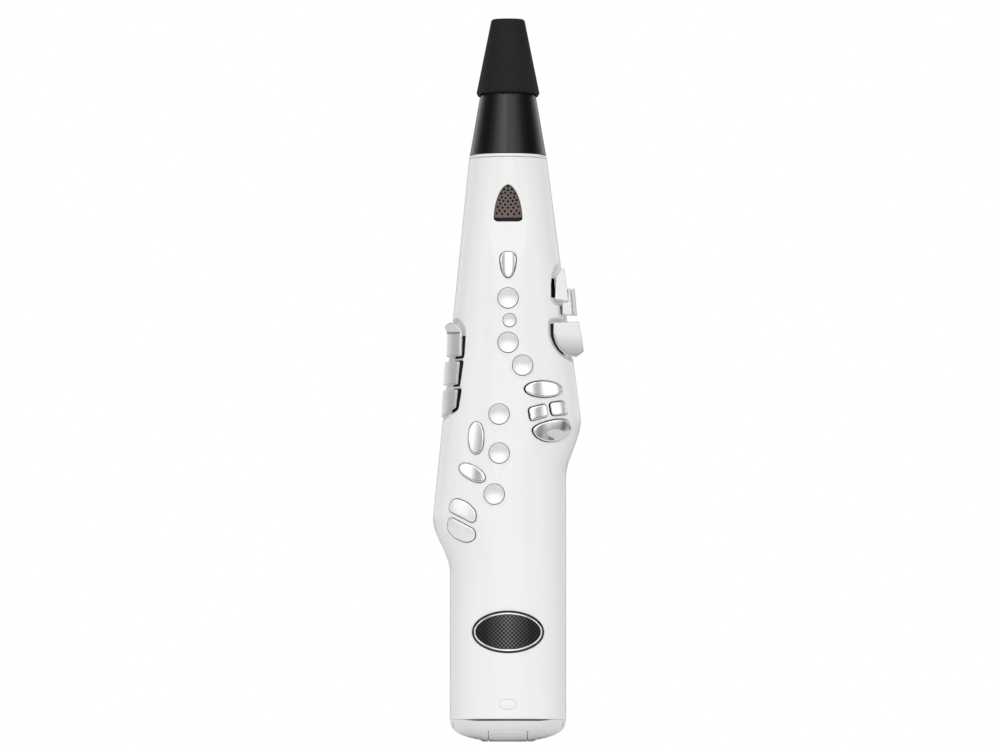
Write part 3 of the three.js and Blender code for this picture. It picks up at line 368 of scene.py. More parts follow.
def basin_depth(base):
    """How deep the basins around the openings lie at points of the surface."""
    depth = np.zeros(len(base))
    for opening in openings:
        if not opening["dip"]:
            continue
        seat, edge = opening["seat"], opening["basin"]
        offset = base - seat.at
        flat = offset @ np.column_stack([seat.u, [0, 0, 1.0]])
        near = np.all((flat > edge.min(0) - 6) & (flat < edge.max(0) + 6), 1)
        near &= offset @ seat.w > -30
        away = np.maximum(distance_to(flat[near], edge), 0)
        depth[near] = np.maximum(depth[near], opening["dip"] * (1 - smooth(away / opening["slope"])))
    return depth


def casing_mesh(fields):
    """The whole casing: points in the chart and in space, triangles, openings they belong to and normals."""
    points, loops, marks, sinks, owners = [], [], [], [], []
    count = 0
    for number, opening in enumerate(openings):
        for away, sink in fillet_rings(opening["fillet"]):
            chart = grown(opening["outline"], away)
            if opening["seat"]:
                chart = to_chart(opening["seat"].on_skin(chart))
            if away == 0:
                opening["chart"] = chart
            points.append(chart)
            sinks.append(np.full(len(chart), sink))
            owners.append(np.full(len(chart), number))
            loops.append(np.arange(count, count + len(chart)))
            count += len(chart)
        marks += [(chart, 0.45), (opening["chart"], opening["fillet"] + 0.3)]
    grid = casing_points(marks)
    verts, faces, origin = triangulate(np.vstack(points + [grid]), loops)
    given = origin >= 0
    sink = np.where(given, np.r_[np.concatenate(sinks), np.zeros(len(grid))][origin], 0)
    owner = np.where(given, np.r_[np.concatenate(owners), np.full(len(grid), -1)][origin], -1)

    angle, z = verts[:, 0] / CHART_SCALE, verts[:, 1]
    base, normal = skin(angle, z), skin_normals(angle, z)
    place = base - normal * (sink + fields(base) + basin_depth(base))[:, None]

    centre = verts[faces].mean(1)
    keep = np.ones(len(faces), bool)
    for opening in openings:
        loop = opening["chart"]
        near = np.flatnonzero(np.all((centre > loop.min(0)) & (centre < loop.max(0)), 1))
        keep[near] &= distance_to(centre[near], loop) >= 0
    return verts, place, faces[keep], owner, normal


def border_walls(verts, place, faces, owner, normal):
    """Walls that run down from the edge of every hole."""
    edges = np.vstack([faces[:, [0, 1]], faces[:, [1, 2]], faces[:, [2, 0]]])
    key = np.sort(edges, 1)
    _, index, counts = np.unique(key, axis=0, return_index=True, return_counts=True)
    border = edges[index[counts == 1]]
    for end in CHART_ENDS:
        border = border[~np.all(np.abs(verts[border][:, :, 0] - end) < 0.01, 1)]
    used = np.unique(border)
    renumber = {int(v): len(place) + i for i, v in enumerate(used)}
    down = []
    for v in used:
        way, depth = normal[v], SEAM_DEPTH
        if owner[v] >= 0:
            opening = openings[owner[v]]
            way, depth = opening["seat"].w if opening["seat"] else way, opening["depth"]
        down.append(place[v] - way * depth)
    walls = [(b, a, renumber[int(a)], renumber[int(b)]) for a, b in border]
    return np.array(down), walls


def build_shells(material, fields):
    """The two shells, parted at their seams, from one mesh of the casing."""
    verts, place, faces, owner, normal = casing_mesh(fields)
    down, walls = border_walls(verts, place, faces, owner, normal)
    points = np.vstack([place, down])
    everything = [tuple(f) for f in faces] + walls
    side = [points[list(f)][:, 1].mean() for f in everything]
    for name, sign in (("front_shell_skin", -1), ("back_shell_skin", 1)):
        chosen = [f for f, y in zip(everything, side) if y * sign > 0]
        used = sorted({i for f in chosen for i in f})
        index = {v: i for i, v in enumerate(used)}
        new_object(name, points[used], [[index[i] for i in f] for f in chosen], "casing",
                   material, [name.replace("_skin", "")], angle=38)


# Looks
class Graph:
    """Short ways to build a node tree."""

    def __init__(self, tree):
        self.nodes, self.links = tree.nodes, tree.links

    def node(self, kind, inputs=(), **settings):
        made = self.nodes.new("ShaderNode" + kind)
        for key, value in settings.items():
            setattr(made, key, value)
        for socket, value in dict(inputs).items():
            self.set(made.inputs[socket], value)
        return made

    def set(self, socket, value):
        if isinstance(value, bpy.types.NodeSocket):
            self.links.new(value, socket)
        else:
            socket.default_value = value

    def maths(self, operation, *values):
        made = self.node("Math", operation=operation)
        for i, value in enumerate(values):
            self.set(made.inputs[i], value)
        return made.outputs[0]

    def ramp(self, value, stops):
        made = self.node("ValToRGB", {"Fac": value})
        elements = made.color_ramp.elements
        while len(elements) < len(stops):
            elements.new(0.5)
        for element, (at, colour) in zip(elements, stops):
            element.position = at
            element.color = (*colour, 1) if isinstance(colour, tuple) else (colour, colour, colour, 1)
        return made.outputs["Color"]

    def noise(self, vector, scale, detail):
        return self.node("TexNoise", {"Vector": vector, "Scale": scale, "Detail": detail}).outputs["Fac"]


def look(name, colour, roughness, metallic=0.0, tint=0.03, tint_scale=40.0, spread=0.05, grain=0.1,
         grain_scale=1500.0, coat=0.0, stretch=(1, 1, 1), specular=0.5):
    """A material whose colour, gloss and surface vary a little, as moulded or polished pieces do."""
    material = bpy.data.materials.new(name)
    material.use_nodes = True
    g = Graph(material.node_tree)
    shader = g.nodes["Principled BSDF"]
    for socket, value in (("Metallic", metallic), ("Specular IOR Level", specular), ("Coat Weight", coat),
                          ("Coat Roughness", 0.06)):
        shader.inputs[socket].default_value = value
    place = g.node("TexCoord").outputs["Object"]
    place = g.node("Mapping", {"Vector": place, "Scale": stretch}).outputs[0]
    dark, light = (tuple(min(max(c * (1 + s * tint), 0), 1) for c in colour) for s in (-1, 1))
    shade = g.ramp(g.noise(place, tint_scale, 3), [(0.3, dark), (0.7, light)])
    g.set(shader.inputs["Base Color"], shade)
    gloss = g.node("MapRange", {"Value": g.noise(place, tint_scale * 6, 4), "From Min": 0.3, "From Max": 0.7,
                                "To Min": max(roughness - spread, 0.02),
                                "To Max": min(roughness + spread, 1)})
    g.set(shader.inputs["Roughness"], gloss.outputs[0])
    bump = g.node("Bump", {"Strength": grain, "Distance": 0.0002, "Height": g.noise(place, grain_scale, 2)})
    g.set(shader.inputs["Normal"], bump.outputs[0])
    return material


WHITE = look("moulded_white", (0.855, 0.855, 0.845), 0.3, tint=0.004, spread=0.02, grain=0.015,
             grain_scale=4000, coat=0.3)
PEARL = look("pearl_lacquer", (0.75, 0.75, 0.755), 0.2, metallic=0.34, tint=0.03, tint_scale=220, grain=0.06)
PLAIN_PEARL = look("plain_lacquer", (0.87, 0.87, 0.875), 0.2, metallic=0.34, tint=0.02, tint_scale=220,
                   grain=0.05)
CHROME = look("satin_chrome", (0.80, 0.80, 0.79), 0.09, metallic=1.0, tint=0.01, tint_scale=90, spread=0.03,
              grain=0.01)
MATTE_BLACK = look("grained_black", (0.010, 0.010, 0.0105), 0.62, tint=0.4, tint_scale=1100, spread=0.08,
                   grain=0.9, grain_scale=2600, specular=0.18)
GLOSS_BLACK = look("polished_black", (0.004, 0.004, 0.005), 0.07, tint=0.2, spread=0.01, grain=0.005,
                   specular=0.42)
GRILLE = look("grille_metal", (0.135, 0.103, 0.094), 0.45, metallic=0.5, tint=0.1, tint_scale=160, grain=0.3)
RUBBER = look("matte_rubber", (0.02, 0.02, 0.021), 0.75, tint=0.25, grain=0.7, grain_scale=2200)
# Black of the dark inner parts, and also of the sheets that paint shade under the casing and the domed end
BLACK_PARTS_AND_SHADE = look("black_parts_and_shade", (0.012, 0.012, 0.013), 0.6, tint=0.2, grain=0.4)
STEEL = look("brushed_steel", (0.52, 0.52, 0.53), 0.3, metallic=1.0, tint=0.08, stretch=(1, 1, 0.06),
             tint_scale=500, spread=0.08, grain=0.3)
BOARD = look("solder_resist", (0.012, 0.10, 0.045), 0.4, tint=0.2, tint_scale=180, grain=0.2)
CELL = look("shrink_wrap", (0.03, 0.11, 0.30), 0.35, tint=0.1, tint_scale=120, grain=0.2)
GLASS = look("smoked_window", (0.006, 0.007, 0.010), 0.05, tint=0.3, grain=0.01, coat=1.0)
FIELD = look("mesh_black", (0.012, 0.012, 0.013), 0.4, tint=0.3, spread=0.08, grain=0.2, specular=0.2)


def weave(material, pitch, reach):
    """A fine diamond lattice of grey strands between dark holes, times a painted sheen that makes it lighter
    towards the middle.
    """
    g = Graph(material.node_tree)
    shader = g.nodes["Principled BSDF"]
    split = g.node("SeparateXYZ", {"Vector": g.node("TexCoord").outputs["Object"]})
    across = split.outputs["X"]
    rate = math.pi / (pitch * MM)
    waves = [g.maths("SINE", g.maths("MULTIPLY", g.maths(way, across, split.outputs["Z"]), rate))
             for way in ("ADD", "SUBTRACT")]
    strand = g.maths("ABSOLUTE", g.maths("MULTIPLY", *waves))
    pattern = g.ramp(strand, [(0.1, 1.0), (0.55, 0.03)])
    away = g.maths("MULTIPLY", g.maths("ABSOLUTE", across), 1 / (reach * MM))
    # Painted sheen: colours lighter in the middle and darker towards the rim, standing in for a reflection on
    # the strands
    middle, halfway, rim = (0.17, 0.17, 0.175), (0.09, 0.09, 0.092), (0.016, 0.016, 0.017)
    painted_sheen = g.ramp(away, [(0.0, middle), (0.35, halfway), (0.8, rim)])
    shade = g.node("Mix", {"Factor": 1.0, "A": pattern, "B": painted_sheen}, data_type="RGBA", blend_type="MULTIPLY")
    g.set(shader.inputs["Base Color"], shade.outputs["Result"])


# The painted sheen fades from the middle to the dark rim over reach millimetres
weave(FIELD, pitch=2.86, reach=20.0)


# Pieces made of rings or of a face with rounded edges
def ringed(name, rings, body, slot, material, nodes=(), start=None, end=None, loop=False, angle=35):
    """A piece through rings of equal count, closed by a point at its ends or back onto its first ring."""
    n = len(rings[0])
    last = len(rings) - 1
    points = np.vstack(rings)
    pairs = [(k, k + 1) for k in range(last)] + ([(last, 0)] if loop else [])
    faces = [(a * n + i, a * n + (i + 1) % n, b * n + (i + 1) % n, b * n + i)
             for a, b in pairs for i in range(n)]
    for ring, tip in ((0, start), (last, end)):
        if tip is not None:
            points = np.vstack([points, tip])
            faces += [(ring * n + i, ring * n + (i + 1) % n, len(points) - 1) for i in range(n)]
    return new_object(name, points, faces, body, material, nodes, angle)


def lathed(name, profile, seat, body, slot, material, nodes, closed=True):
    """A piece turned about a seat's outward axis, from radii and heights."""
    rings = [seat.lift(circle(2 * radius), height) for radius, height in profile]
    tip = seat.place(np.array([[0, 0, profile[-1][1]]])) if closed else None
    return ringed(name, rings, body, slot, material, nodes, end=tip)


def face_between(outer, windows, grid, rounding, at_rim=None):
    """Triangles within an outline and outside its windows, and how deep the rounded edges sink each point."""
    loops, rings, sinks, count = [], [], [], 0
    for line in [outer, *windows]:
        way = -1 if line is outer else 1
        for away, sink in at_rim if at_rim and line is outer else rounding:
            rings.append(grown(line, way * away))
            sinks.append(np.full(len(line), sink))
            loops.append(np.arange(count, count + len(line)))
            count += len(line)
    verts, faces, origin = triangulate(np.vstack(rings + [grid]), loops)
    sink = np.r_[np.concatenate(sinks), np.zeros(len(grid))]
    centre = verts[faces].mean(1)
    keep = distance_to(centre, outer) < 0
    for line in windows:
        keep &= distance_to(centre, line) > 0
    return verts, faces[keep], np.where(origin >= 0, sink[origin], 0)


def face_of(outline, windows, fillet, step):
    """A face with rounded edges in its own plane."""
    rounding = fillet_rings(fillet)
    inner = grown(outline, -rounding[-1][0])
    grid = meshed(*(np.arange(low, high, step) for low, high in zip(inner.min(0), inner.max(0))))
    grid = grid[distance_to(grid, inner) < -0.4]
    for line in windows:
        grid = grid[distance_to(grid, line) > fillet + 0.2]
    return face_between(outline, windows, grid, rounding)


def nearest(verts, line):
    """The index of the point of a mesh at each point of a line."""
    return [int(np.argmin(np.linalg.norm(verts - p, axis=1))) for p in line]


def with_walls(top, verts, faces, lines, lower):
    """A face with walls from its edge lines; lower gives each wall's far edge from its near one."""
    points, faces, count = [top], [tuple(f) for f in faces], len(top)
    for line in lines:
        lip, n = nearest(verts, line), len(line)
        points.append(lower(line, lip))
        faces += [(count + i, count + (i + 1) % n, lip[(i + 1) % n], lip[i]) for i in range(n)]
        count += n
    return np.vstack(points), faces


def crowned(name, outline, seat, rise, material, slot, body, nodes, fillet=0.7, crown=0.0, skirt=3.4,
            shape=None, step=0.8, windows=(), flat=False, bow=False):
    """A face that follows the casing or lies flat, with rounded edges and a skirt; a bow crowns it across."""
    outline = spaced(outline, OUTLINE_STEP)
    verts, faces, sink = face_of(outline, windows, fillet, step)
    height = np.full(len(verts), float(rise))
    if not flat:
        side = 1 if seat.w[1] > 0 else -1
        x = seat.at[0] - side * verts[:, 0]
        height = (surface_at(x, seat.at[2] + verts[:, 1], side, rise) - seat.at[1]) * side
    middle = (outline.max(0) + outline.min(0)) / 2
    reach = ((verts - middle) / (np.ptp(outline, axis=0) / 2)) ** 2 @ (1.0, 0.0 if bow else 1.0)
    height += crown * np.clip(1 - reach, -0.6, 1) - sink
    if shape is not None:
        height += shape(verts)

    def skirt_foot(line, lip):
        return seat.lift(verts[lip], height[lip] - skirt)

    points, faces = with_walls(seat.lift(verts, height), verts, faces, [outline, *windows], skirt_foot)
    return new_object(name, points, faces, body, material, nodes)


# Keys on the front
PEARL_DIAMETER = 14.0
BIS_DIAMETER = 9.0
CHAIN_TOP = 308.2
CHAIN_PITCH = 15.5
RIGHT_TOP = 227.2
RIGHT_PITCH = 27.9
CHAIN = {
    "key_l1": (PEARL_DIAMETER, 0.0, CHAIN_TOP),
    "key_bis": (BIS_DIAMETER, 1.0, CHAIN_TOP - CHAIN_PITCH),
    "key_l2": (PEARL_DIAMETER, 0.0, CHAIN_TOP - 2 * CHAIN_PITCH),
    "key_l3": (PEARL_DIAMETER, 10.1, CHAIN_TOP - 2 * CHAIN_PITCH - 15.9),
    "key_r1": (PEARL_DIAMETER, -6.2, RIGHT_TOP),
    "key_r2": (PEARL_DIAMETER, -6.2, RIGHT_TOP - RIGHT_PITCH + 0.7),
    "key_r3": (PEARL_DIAMETER, -9.6, RIGHT_TOP - 2 * RIGHT_PITCH),
}


def pearl_key(name, diameter, x, z, rise=0.9, dish=0.6, rim=0.4):
    """A round dished key with a rounded rim and a straight side."""
    seat = Seat(x, z)
    radius = diameter / 2 - rim
    profile = [(diameter / 2, -2.2)]
    for a in np.radians(np.linspace(0, 90, 7)):
        profile.append((radius + rim * math.cos(a), rise - rim + rim * math.sin(a)))
    for share in np.linspace(0.96, 0.03, 18):
        profile.append((radius * share, rise - dish * (diameter / PEARL_DIAMETER) * (1 - share ** 2)))
    lathed(name + "_cap", profile, seat, name, "pearl", PEARL, [name])
    hole(seat, circle(diameter + 2 * KEY_GAP), fillet=0.4)


def crowned_key(name, outline, seat, rise, material, slot, gap=KEY_GAP, shift=(0, 0), fillet=0.7, **more):
    """A key with a crowned face in a hole of its own shape."""
    crowned(name + "_top", outline, seat, rise, material, slot, name, [name], fillet=fillet, **more)
    hole(seat, grown(spaced(outline, OUTLINE_STEP) + np.array(shift), gap), fillet=min(0.45, fillet))


for key, (diameter, x, z) in CHAIN.items():
    pearl_key(key, diameter, x, z)


# The front F key: egg-shaped, as half widths at heights from its middle
EGG = [(9.2, 2.0), (8.9, 3.1), (7.9, 4.5), (6.3, 5.4), (4.9, 5.65), (3.5, 5.65), (2.1, 5.55), (0.7, 5.3),
       (-0.7, 5.1), (-2.1, 4.85), (-3.5, 4.45), (-4.9, 3.95), (-6.3, 3.2), (-7.6, 2.2), (-8.6, 1.1)]
egg = np.array([[w, h] for h, w in EGG[::-1]] + [[-w, h] for h, w in EGG])


def crest(verts):
    """A soft upright crest a little right of the middle."""
    return 0.4 - 0.17 * np.hypot(verts[:, 0] - 0.8, 2.0)


crowned_key("key_front_f", rounded(egg, 0.6), Seat(0, 331.2), 1.1, CHROME, "pearl", gap=0.5, skirt=2.6,
            shape=crest)


# The two trill keys beside the right hand's round keys
TRILL_ROUNDNESS = 2.25
crowned_key("key_trill_upper", ellipse(10.7, 22.4, TRILL_ROUNDNESS), Seat(-22.3, RIGHT_TOP - 16.5), 1.2,
            CHROME, "chrome", crown=-0.1, bow=True)
LEANING_OVAL = turned(ellipse(20.3, 9.6, TRILL_ROUNDNESS), -30)
crowned_key("key_trill_lower", LEANING_OVAL, Seat(-25.1, RIGHT_TOP - 40.8), 1.2, CHROME, "chrome",
            crown=0.05, bow=True)

# Little finger keys, as shares of two boxes: left, foot, width and height
TABLE = (14.4, 208.0, 30.0, 42.7)
PINKY = (-42.4, 138.0, 19.9, 30.8)


def boxed(table, box, corner):
    """A key's outline about its middle and its seat, from shares of a box."""
    left, foot, width, height = box
    middle = np.array([left + width / 2, foot + height / 2])
    return rounded(shares(table, width, height, left, foot), corner) - middle, Seat(*middle)


def saddle(verts):
    """The low key of the table group dips in the middle of its lower half."""
    dip = np.exp(-((verts[:, 0] - 3.2) / 3.8) ** 2) * smooth((-12.5 - verts[:, 1]) / 6.0)
    return -1.3 * dip


g_sharp = Seat(TABLE[0] + TABLE[2] * 0.357, TABLE[1] + TABLE[3] * 0.86)
crowned_key("key_g_sharp", ellipse(TABLE[2] * 0.875, TABLE[3] * 0.258), g_sharp, 1.5, CHROME, "chrome",
            crown=0.15, bow=True, gap=0.6, shift=(-0.5, 0.1))
c_sharp = [(0.05, 0.335), (0.455, 0.42), (0.405, 0.62), (0, 0.545)]
b_key = [(0.545, 0.425), (0.93, 0.465), (0.83, 0.675), (0.49, 0.635)]
b_flat = [(0.16, 0.085), (0.34, 0.015), (0.52, 0), (0.72, 0.02), (0.97, 0.16), (1, 0.26), (0.9, 0.37),
          (0.66, 0.37), (0.42, 0.33), (0.2, 0.27), (0.08, 0.2)]
for key, table, crown, shape in (
    ("key_c_sharp", c_sharp, 0.1, None), ("key_b", b_key, 0.0, None), ("key_b_flat", b_flat, 0.2, saddle),
):
    outline, seat = boxed(table, TABLE, 2.4)
    crowned_key(key, outline, seat, 1.5, CHROME, "chrome", crown=crown, bow=True, gap=0.55,
                shift=(-0.45, 0.12), shape=shape)

e_flat = [(0.87, 0.44), (1, 0.49), (1, 0.7), (0.72, 0.895), (0.34, 1), (0.13, 0.95), (0.05, 0.77),
          (0.08, 0.715)]
low_c = [(0, 0.46), (0.02, 0.28), (0.24, 0.115), (0.64, 0), (0.88, 0.03), (1, 0.13), (0.95, 0.29),
         (0.12, 0.575)]
for key, table in (("key_e_flat", e_flat), ("key_low_c", low_c)):
    outline, seat = boxed(table, PINKY, 2.6)
    crowned_key(key, outline, seat, 1.3, PLAIN_PEARL, "pearl", crown=0.15, gap=0.5)


# Side and palm keys: bent plates above basins in the casing's edge
def plate_key(name, table, width, height, seat, limit, bend=None, gap=1.5, dip=2.4, slot=None, slope=2.4,
              step=0.6, thickness=1.3, rise=1.2, corner=1.2):
    """A bent plate over its opening, which has the plate's outline and a gap, or the outline of a slot."""
    outline = spaced(rounded(shares(table, width, height), corner), 0.5)
    verts, faces, sink = face_of(outline, [], 0.45, step)
    bent = bend(verts) if bend else 0
    top = seat.lift(verts, rise + bent - sink)
    under = seat.lift(verts, rise - thickness + bent + sink * 0.4)
    lip, count, n = nearest(verts, outline), len(top), len(outline)
    sides = [(count + lip[i], count + lip[(i + 1) % n], lip[(i + 1) % n], lip[i]) for i in range(n)]
    faces = [tuple(f) for f in faces] + [tuple(count + i for i in f[::-1]) for f in faces] + sides
    new_object(name + "_plate", np.vstack([top, under]), faces, name, CHROME, [name])
    edge = grown(outline, gap) if slot is None else rounded(slot, 0.6)
    hole(seat, spaced(cut_off(edge, limit), 0.5), fillet=0.4, depth=0.9, dip=dip, slope=slope,
         basin=grown(outline, max(gap, 0.8)))


def rectangle(left, foot, right, top):
    return [(left, foot), (right, foot), (right, top), (left, top)]


def curled(height, lift):
    """Side plates roll down towards the casing's edge; the first one also lifts at its top end."""
    def bend(verts):
        roll = -((verts[:, 0] + 9) / 9) ** 2
        return roll + lift * smooth((verts[:, 1] - height * 0.66) / (height * 0.38))
    return bend


SIDE_TURN, SIDE_TOP, SIDE_LEAN, SIDE_SPACE = -55, 292.2, 0.62, 3.7
side_top = [(-0.86, 0), (0, 0), (0.03, 0.66), (-0.02, 0.8), (-0.19, 0.94), (-0.41, 1), (-0.86, 0.9),
            (-0.8, 0.66)]
side_middle = [(-1, 0), (-0.1, 0), (0, 1), (-0.86, 1)]
side_low = [(-1, 0), (-0.88, 0), (-0.1, 0.32), (0, 1), (-0.85, 1)]
side_slot = [(-16, -1.2), (1.1, -1.2), (1.4, 14.4), (-16, 14.4)]
level = SIDE_TOP
for key, table, height, lift, slot in (
    ("key_side_1", side_top, 24.0, 2.6, side_slot), ("key_side_2", side_middle, 16.0, 0, None),
    ("key_side_3", side_low, 18.6, 0, None),
):
    level -= height
    lean = SIDE_LEAN * float(flare_at(level, LEFT_FLARE) - flare_at(SIDE_TOP - 24, LEFT_FLARE))
    plate_key(key, table, 20.0, height, Seat(-33 - lean, level, turn=SIDE_TURN), lean * 1.15 - 13,
              curled(height, lift), gap=1.0, dip=2.8, slot=slot)
    level -= SIDE_SPACE


def palm_seat(inset, z):
    return Seat(float(flare_at(z, RIGHT_FLARE)) - inset, z, turn=40)


def ridge(verts):
    """The upright bar of the middle palm key."""
    centre = 13.7 * (0.785 - 0.155 * verts[:, 1] / 19)
    return 0.85 * np.clip(1 - ((verts[:, 0] - centre) / 2.5) ** 2, 0, 1)


def droop(verts):
    """The lowest palm key bends down towards its foot."""
    return -0.5 * np.clip(1 - verts[:, 1] / 16, 0, 1) ** 2


palm_top = [(0.05, 0.02), (1.06, 0), (0.72, 1), (0.58, 0.99), (0.36, 0.87), (0.2, 0.76), (0.1, 0.5)]
palm_strip = [(0, 0), (0.97, 0), (0.8, 1), (0.34, 1), (0.36, 0.5), (0, 0.47)]
palm_low = [(0, 0.93), (0, 0.57), (0.08, 0.36), (0.22, 0.18), (0.42, 0.06), (0.75, 0), (1, 0.17), (0.83, 1)]
palm_slot = [(-0.6, 3.0), (6.5, 3.0), (6.5, 16.6), (0.7, 16.6)]
plate_key("key_palm_1", palm_top, 12.1, 23.6, palm_seat(8.4, 306.6), 7.0, gap=1.2, slot=palm_slot)
plate_key("key_palm_2", palm_strip, 13.7, 19.0, palm_seat(3.9, 297.1), 7.0, ridge, dip=2.0,
          slot=rectangle(1.6, 1.2, 6.8, 7.4), step=0.45)
plate_key("key_palm_3", palm_low, 27.5, 25.2, palm_seat(13.9, 268.0), 14.0, droop, gap=-0.4, dip=2.9,
          slope=2.8)


# Grille: a plate with round holes, sunk in its pointed arch
GRILLE_FOOT, GRILLE_WIDTH, GRILLE_HEIGHT, GRILLE_CORNER = 362.3, 20.0, 25.2, 2.4
share = np.sin(np.linspace(0, math.pi / 2, 60))
corner = np.clip(1 - share * GRILLE_HEIGHT / GRILLE_CORNER, 0, 1)
half_arch = 0.5 * (1 - share ** 2) ** 0.58 - GRILLE_CORNER / GRILLE_WIDTH * (1 - np.sqrt(1 - corner ** 2))
right = np.column_stack([half_arch * GRILLE_WIDTH, share * GRILLE_HEIGHT])
arch = spaced(np.vstack([right, right[-2::-1] * (-1, 1)]), 0.6)
grille_seat = Seat(0, GRILLE_FOOT)
hole(grille_seat, grown(arch, 0.35), fillet=0.4, depth=4)
# Each hole's height and its distance from the middle; it lies on both sides
HOLES = [(24.1, 0), (21.5, 0), (22.1, 2.7), (19.7, 2.0), (19.1, 4.5), (18.0, 0), (16.0, 1.6), (16.6, 4.3),
         (13.7, 0), (14.0, 3.3), (14.6, 6.05), (11.5, 2.0), (12.0, 5.3), (9.2, 0), (9.3, 3.8), (9.9, 7.2),
         (6.8, 2.2), (7.2, 5.9), (4.5, 0), (4.7, 4.3), (5.4, 7.8)]
punched = [circle(1.5, 14) + (s * u, v) for v, u in HOLES for s in ((1, -1) if u else (1,))]
plate = spaced(rounded(arch[arch[:, 1] > 2.0], 0.5, 3), 0.5)
crowned("grille_plate", plate, grille_seat, -1.9, GRILLE, "grille_metal", "casing", ["grille"], fillet=0.3,
        skirt=1.2, step=0.7, windows=punched)


# Badge: a black border, a silver ring and a field of fine mesh, all bare
BADGE_LEVEL, BADGE_WIDTH, BADGE_HEIGHT, BADGE_RISE = 75.6, 50.0, 29.0, 0.1
badge_seat = Seat(0, BADGE_LEVEL)
badge = ellipse(BADGE_WIDTH, BADGE_HEIGHT, sides=128)
hole(badge_seat, grown(badge, 0.25), fillet=0.3, depth=1.2)
BORDER = [(0, -1.1), (0, 0.3), (0.25, 0.55), (0.8, 0.6), (1.1, 0.45), (1.1, -1.1)]
RING = [(1.1, -1.1), (1.1, 0.35), (1.4, 0.6), (1.9, 0.6), (2.2, 0.35), (2.2, -1.1)]
for name, profile, material in (("badge_border", BORDER, GLOSS_BLACK), ("badge_ring", RING, CHROME)):
    rims = [badge_seat.on_skin(grown(badge, -inwards), height + BADGE_RISE) for inwards, height in profile]
    ringed(name, rims, "casing", "chrome", material, ["badge_rim"], loop=True)
crowned("badge_mesh_field", grown(badge, -2.2), badge_seat, 0.15, FIELD, "badge_mesh", "casing",
        ["badge_field"], fillet=0.2, skirt=1.2, crown=0.5, step=0.7)
crowned_key("power_button", ellipse(12.3, 6.9), Seat(0, 25.2), 0.12, WHITE, "white_plastic", fillet=0.2,
            crown=0.1, gap=0.12)


# Back: display, dial, thumb rest, octave keys, strap lug and ring, thumb hook, sockets and screws
def plaque(width, height, corner):
    """A rectangle about the seat, with rounded corners."""
    return rounded(rectangle(-width / 2, -height / 2, width / 2, height / 2), corner)


def inlaid(name, outline, seat, rise, material, slot, node, **more):
    """A crowned piece let into the casing."""
    crowned(name, outline, seat, rise, material, slot, "casing", [node], skirt=rise + 1.0, **more)
    hole(seat, grown(spaced(outline, OUTLINE_STEP), 0.25), fillet=0.35, depth=1.4)


def ripples(verts):
    r = np.hypot(verts[:, 0], verts[:, 1])
    return 0.16 * np.cos(r * math.tau / 2.4) * smooth((9.5 - r) / 1.5)


DISPLAY_LEVEL, DIAL_LEVEL, REST_LEVEL, OCTAVE_STEP, LUG_LEVEL, HOOK_LEVEL = 376, 350, 272, 19.5, 225, 176
inlaid("display_pane", plaque(24, 13, 2.2), Seat(0, DISPLAY_LEVEL, 1), 0.2, GLASS, "display_glass",
       "display_window", fillet=0.3)
inlaid("thumb_pad", circle(22), Seat(0, REST_LEVEL, 1), 1.3, RUBBER, "rubber", "thumb_rest", fillet=1.0,
       crown=0.6, shape=ripples, step=0.5)
for key, z in (("octave_key_up", REST_LEVEL + OCTAVE_STEP), ("octave_key_down", REST_LEVEL - OCTAVE_STEP)):
    crowned_key(key, plaque(21, 11, 3.2), Seat(0, z, 1), 2.2, CHROME, "chrome", crown=0.7, fillet=0.9)


# The dial: radii and heights, with flutes that fade out over its edge
DIAL = [(7.5, 0.3), (7.5, 3.2), (7.3, 3.65), (6.8, 3.95), (6.0, 4.0), (5.2, 3.8), (3.0, 3.55), (0.4, 3.5)]
dial_seat = Seat(0, DIAL_LEVEL, 1)
turn = turns(168)
fluted = []
for radius, height in DIAL:
    depth = 0.55 * smooth((radius - 5.6) / 1.6) * np.clip(np.cos(turn * 14), -0.3, 1)
    line = (radius - depth)[:, None] * np.column_stack([np.cos(turn), np.sin(turn)])
    fluted.append(dial_seat.lift(line, height))
foot, tip = (dial_seat.place(np.array([[0, 0, height]])) for height in (0.3, 3.5))
ringed("dial_knob", fluted, "select_dial", "rubber", RUBBER, ["select_dial"], start=foot, end=tip)

# The strap lug: a base, and an eye whose foot widens towards the casing
EYE_OUT, EYE_RADIUS, EYE_RIM = 9.5, 2.6, 3.2
lug_seat = Seat(0, LUG_LEVEL, 1)
inlaid("lug_base", plaque(14, 20, 3.2), lug_seat, 1.4, CHROME, "chrome", "strap_lug", fillet=0.7, crown=0.2)
outer = EYE_RADIUS + EYE_RIM
inner_line, outer_line = [], []
for a in turns(64):
    u, w = math.cos(a), math.sin(a)
    inner_line.append([EYE_RADIUS * u, EYE_OUT + EYE_RADIUS * w])
    edge = [outer * u, EYE_OUT + outer * w]
    if w < 0:
        edge = [(outer - 0.9 * w) * signed_power(u, 0.5), mix(EYE_OUT, 0.6, (-w) ** 0.7)]
    outer_line.append(edge)
rings = []
for share, across in (
    (1, 1.25), (0.93, 1.6), (0.12, 1.6), (0, 1.2), (0, -1.2), (0.12, -1.6), (0.93, -1.6), (1, -1.25),
):
    line = mix(np.array(inner_line), np.array(outer_line), share)
    rings.append(lug_seat.place(np.column_stack([np.full(len(line), across), line])))
ringed("lug_eye", rings, "casing", "chrome", CHROME, ["strap_lug"], loop=True, angle=40)

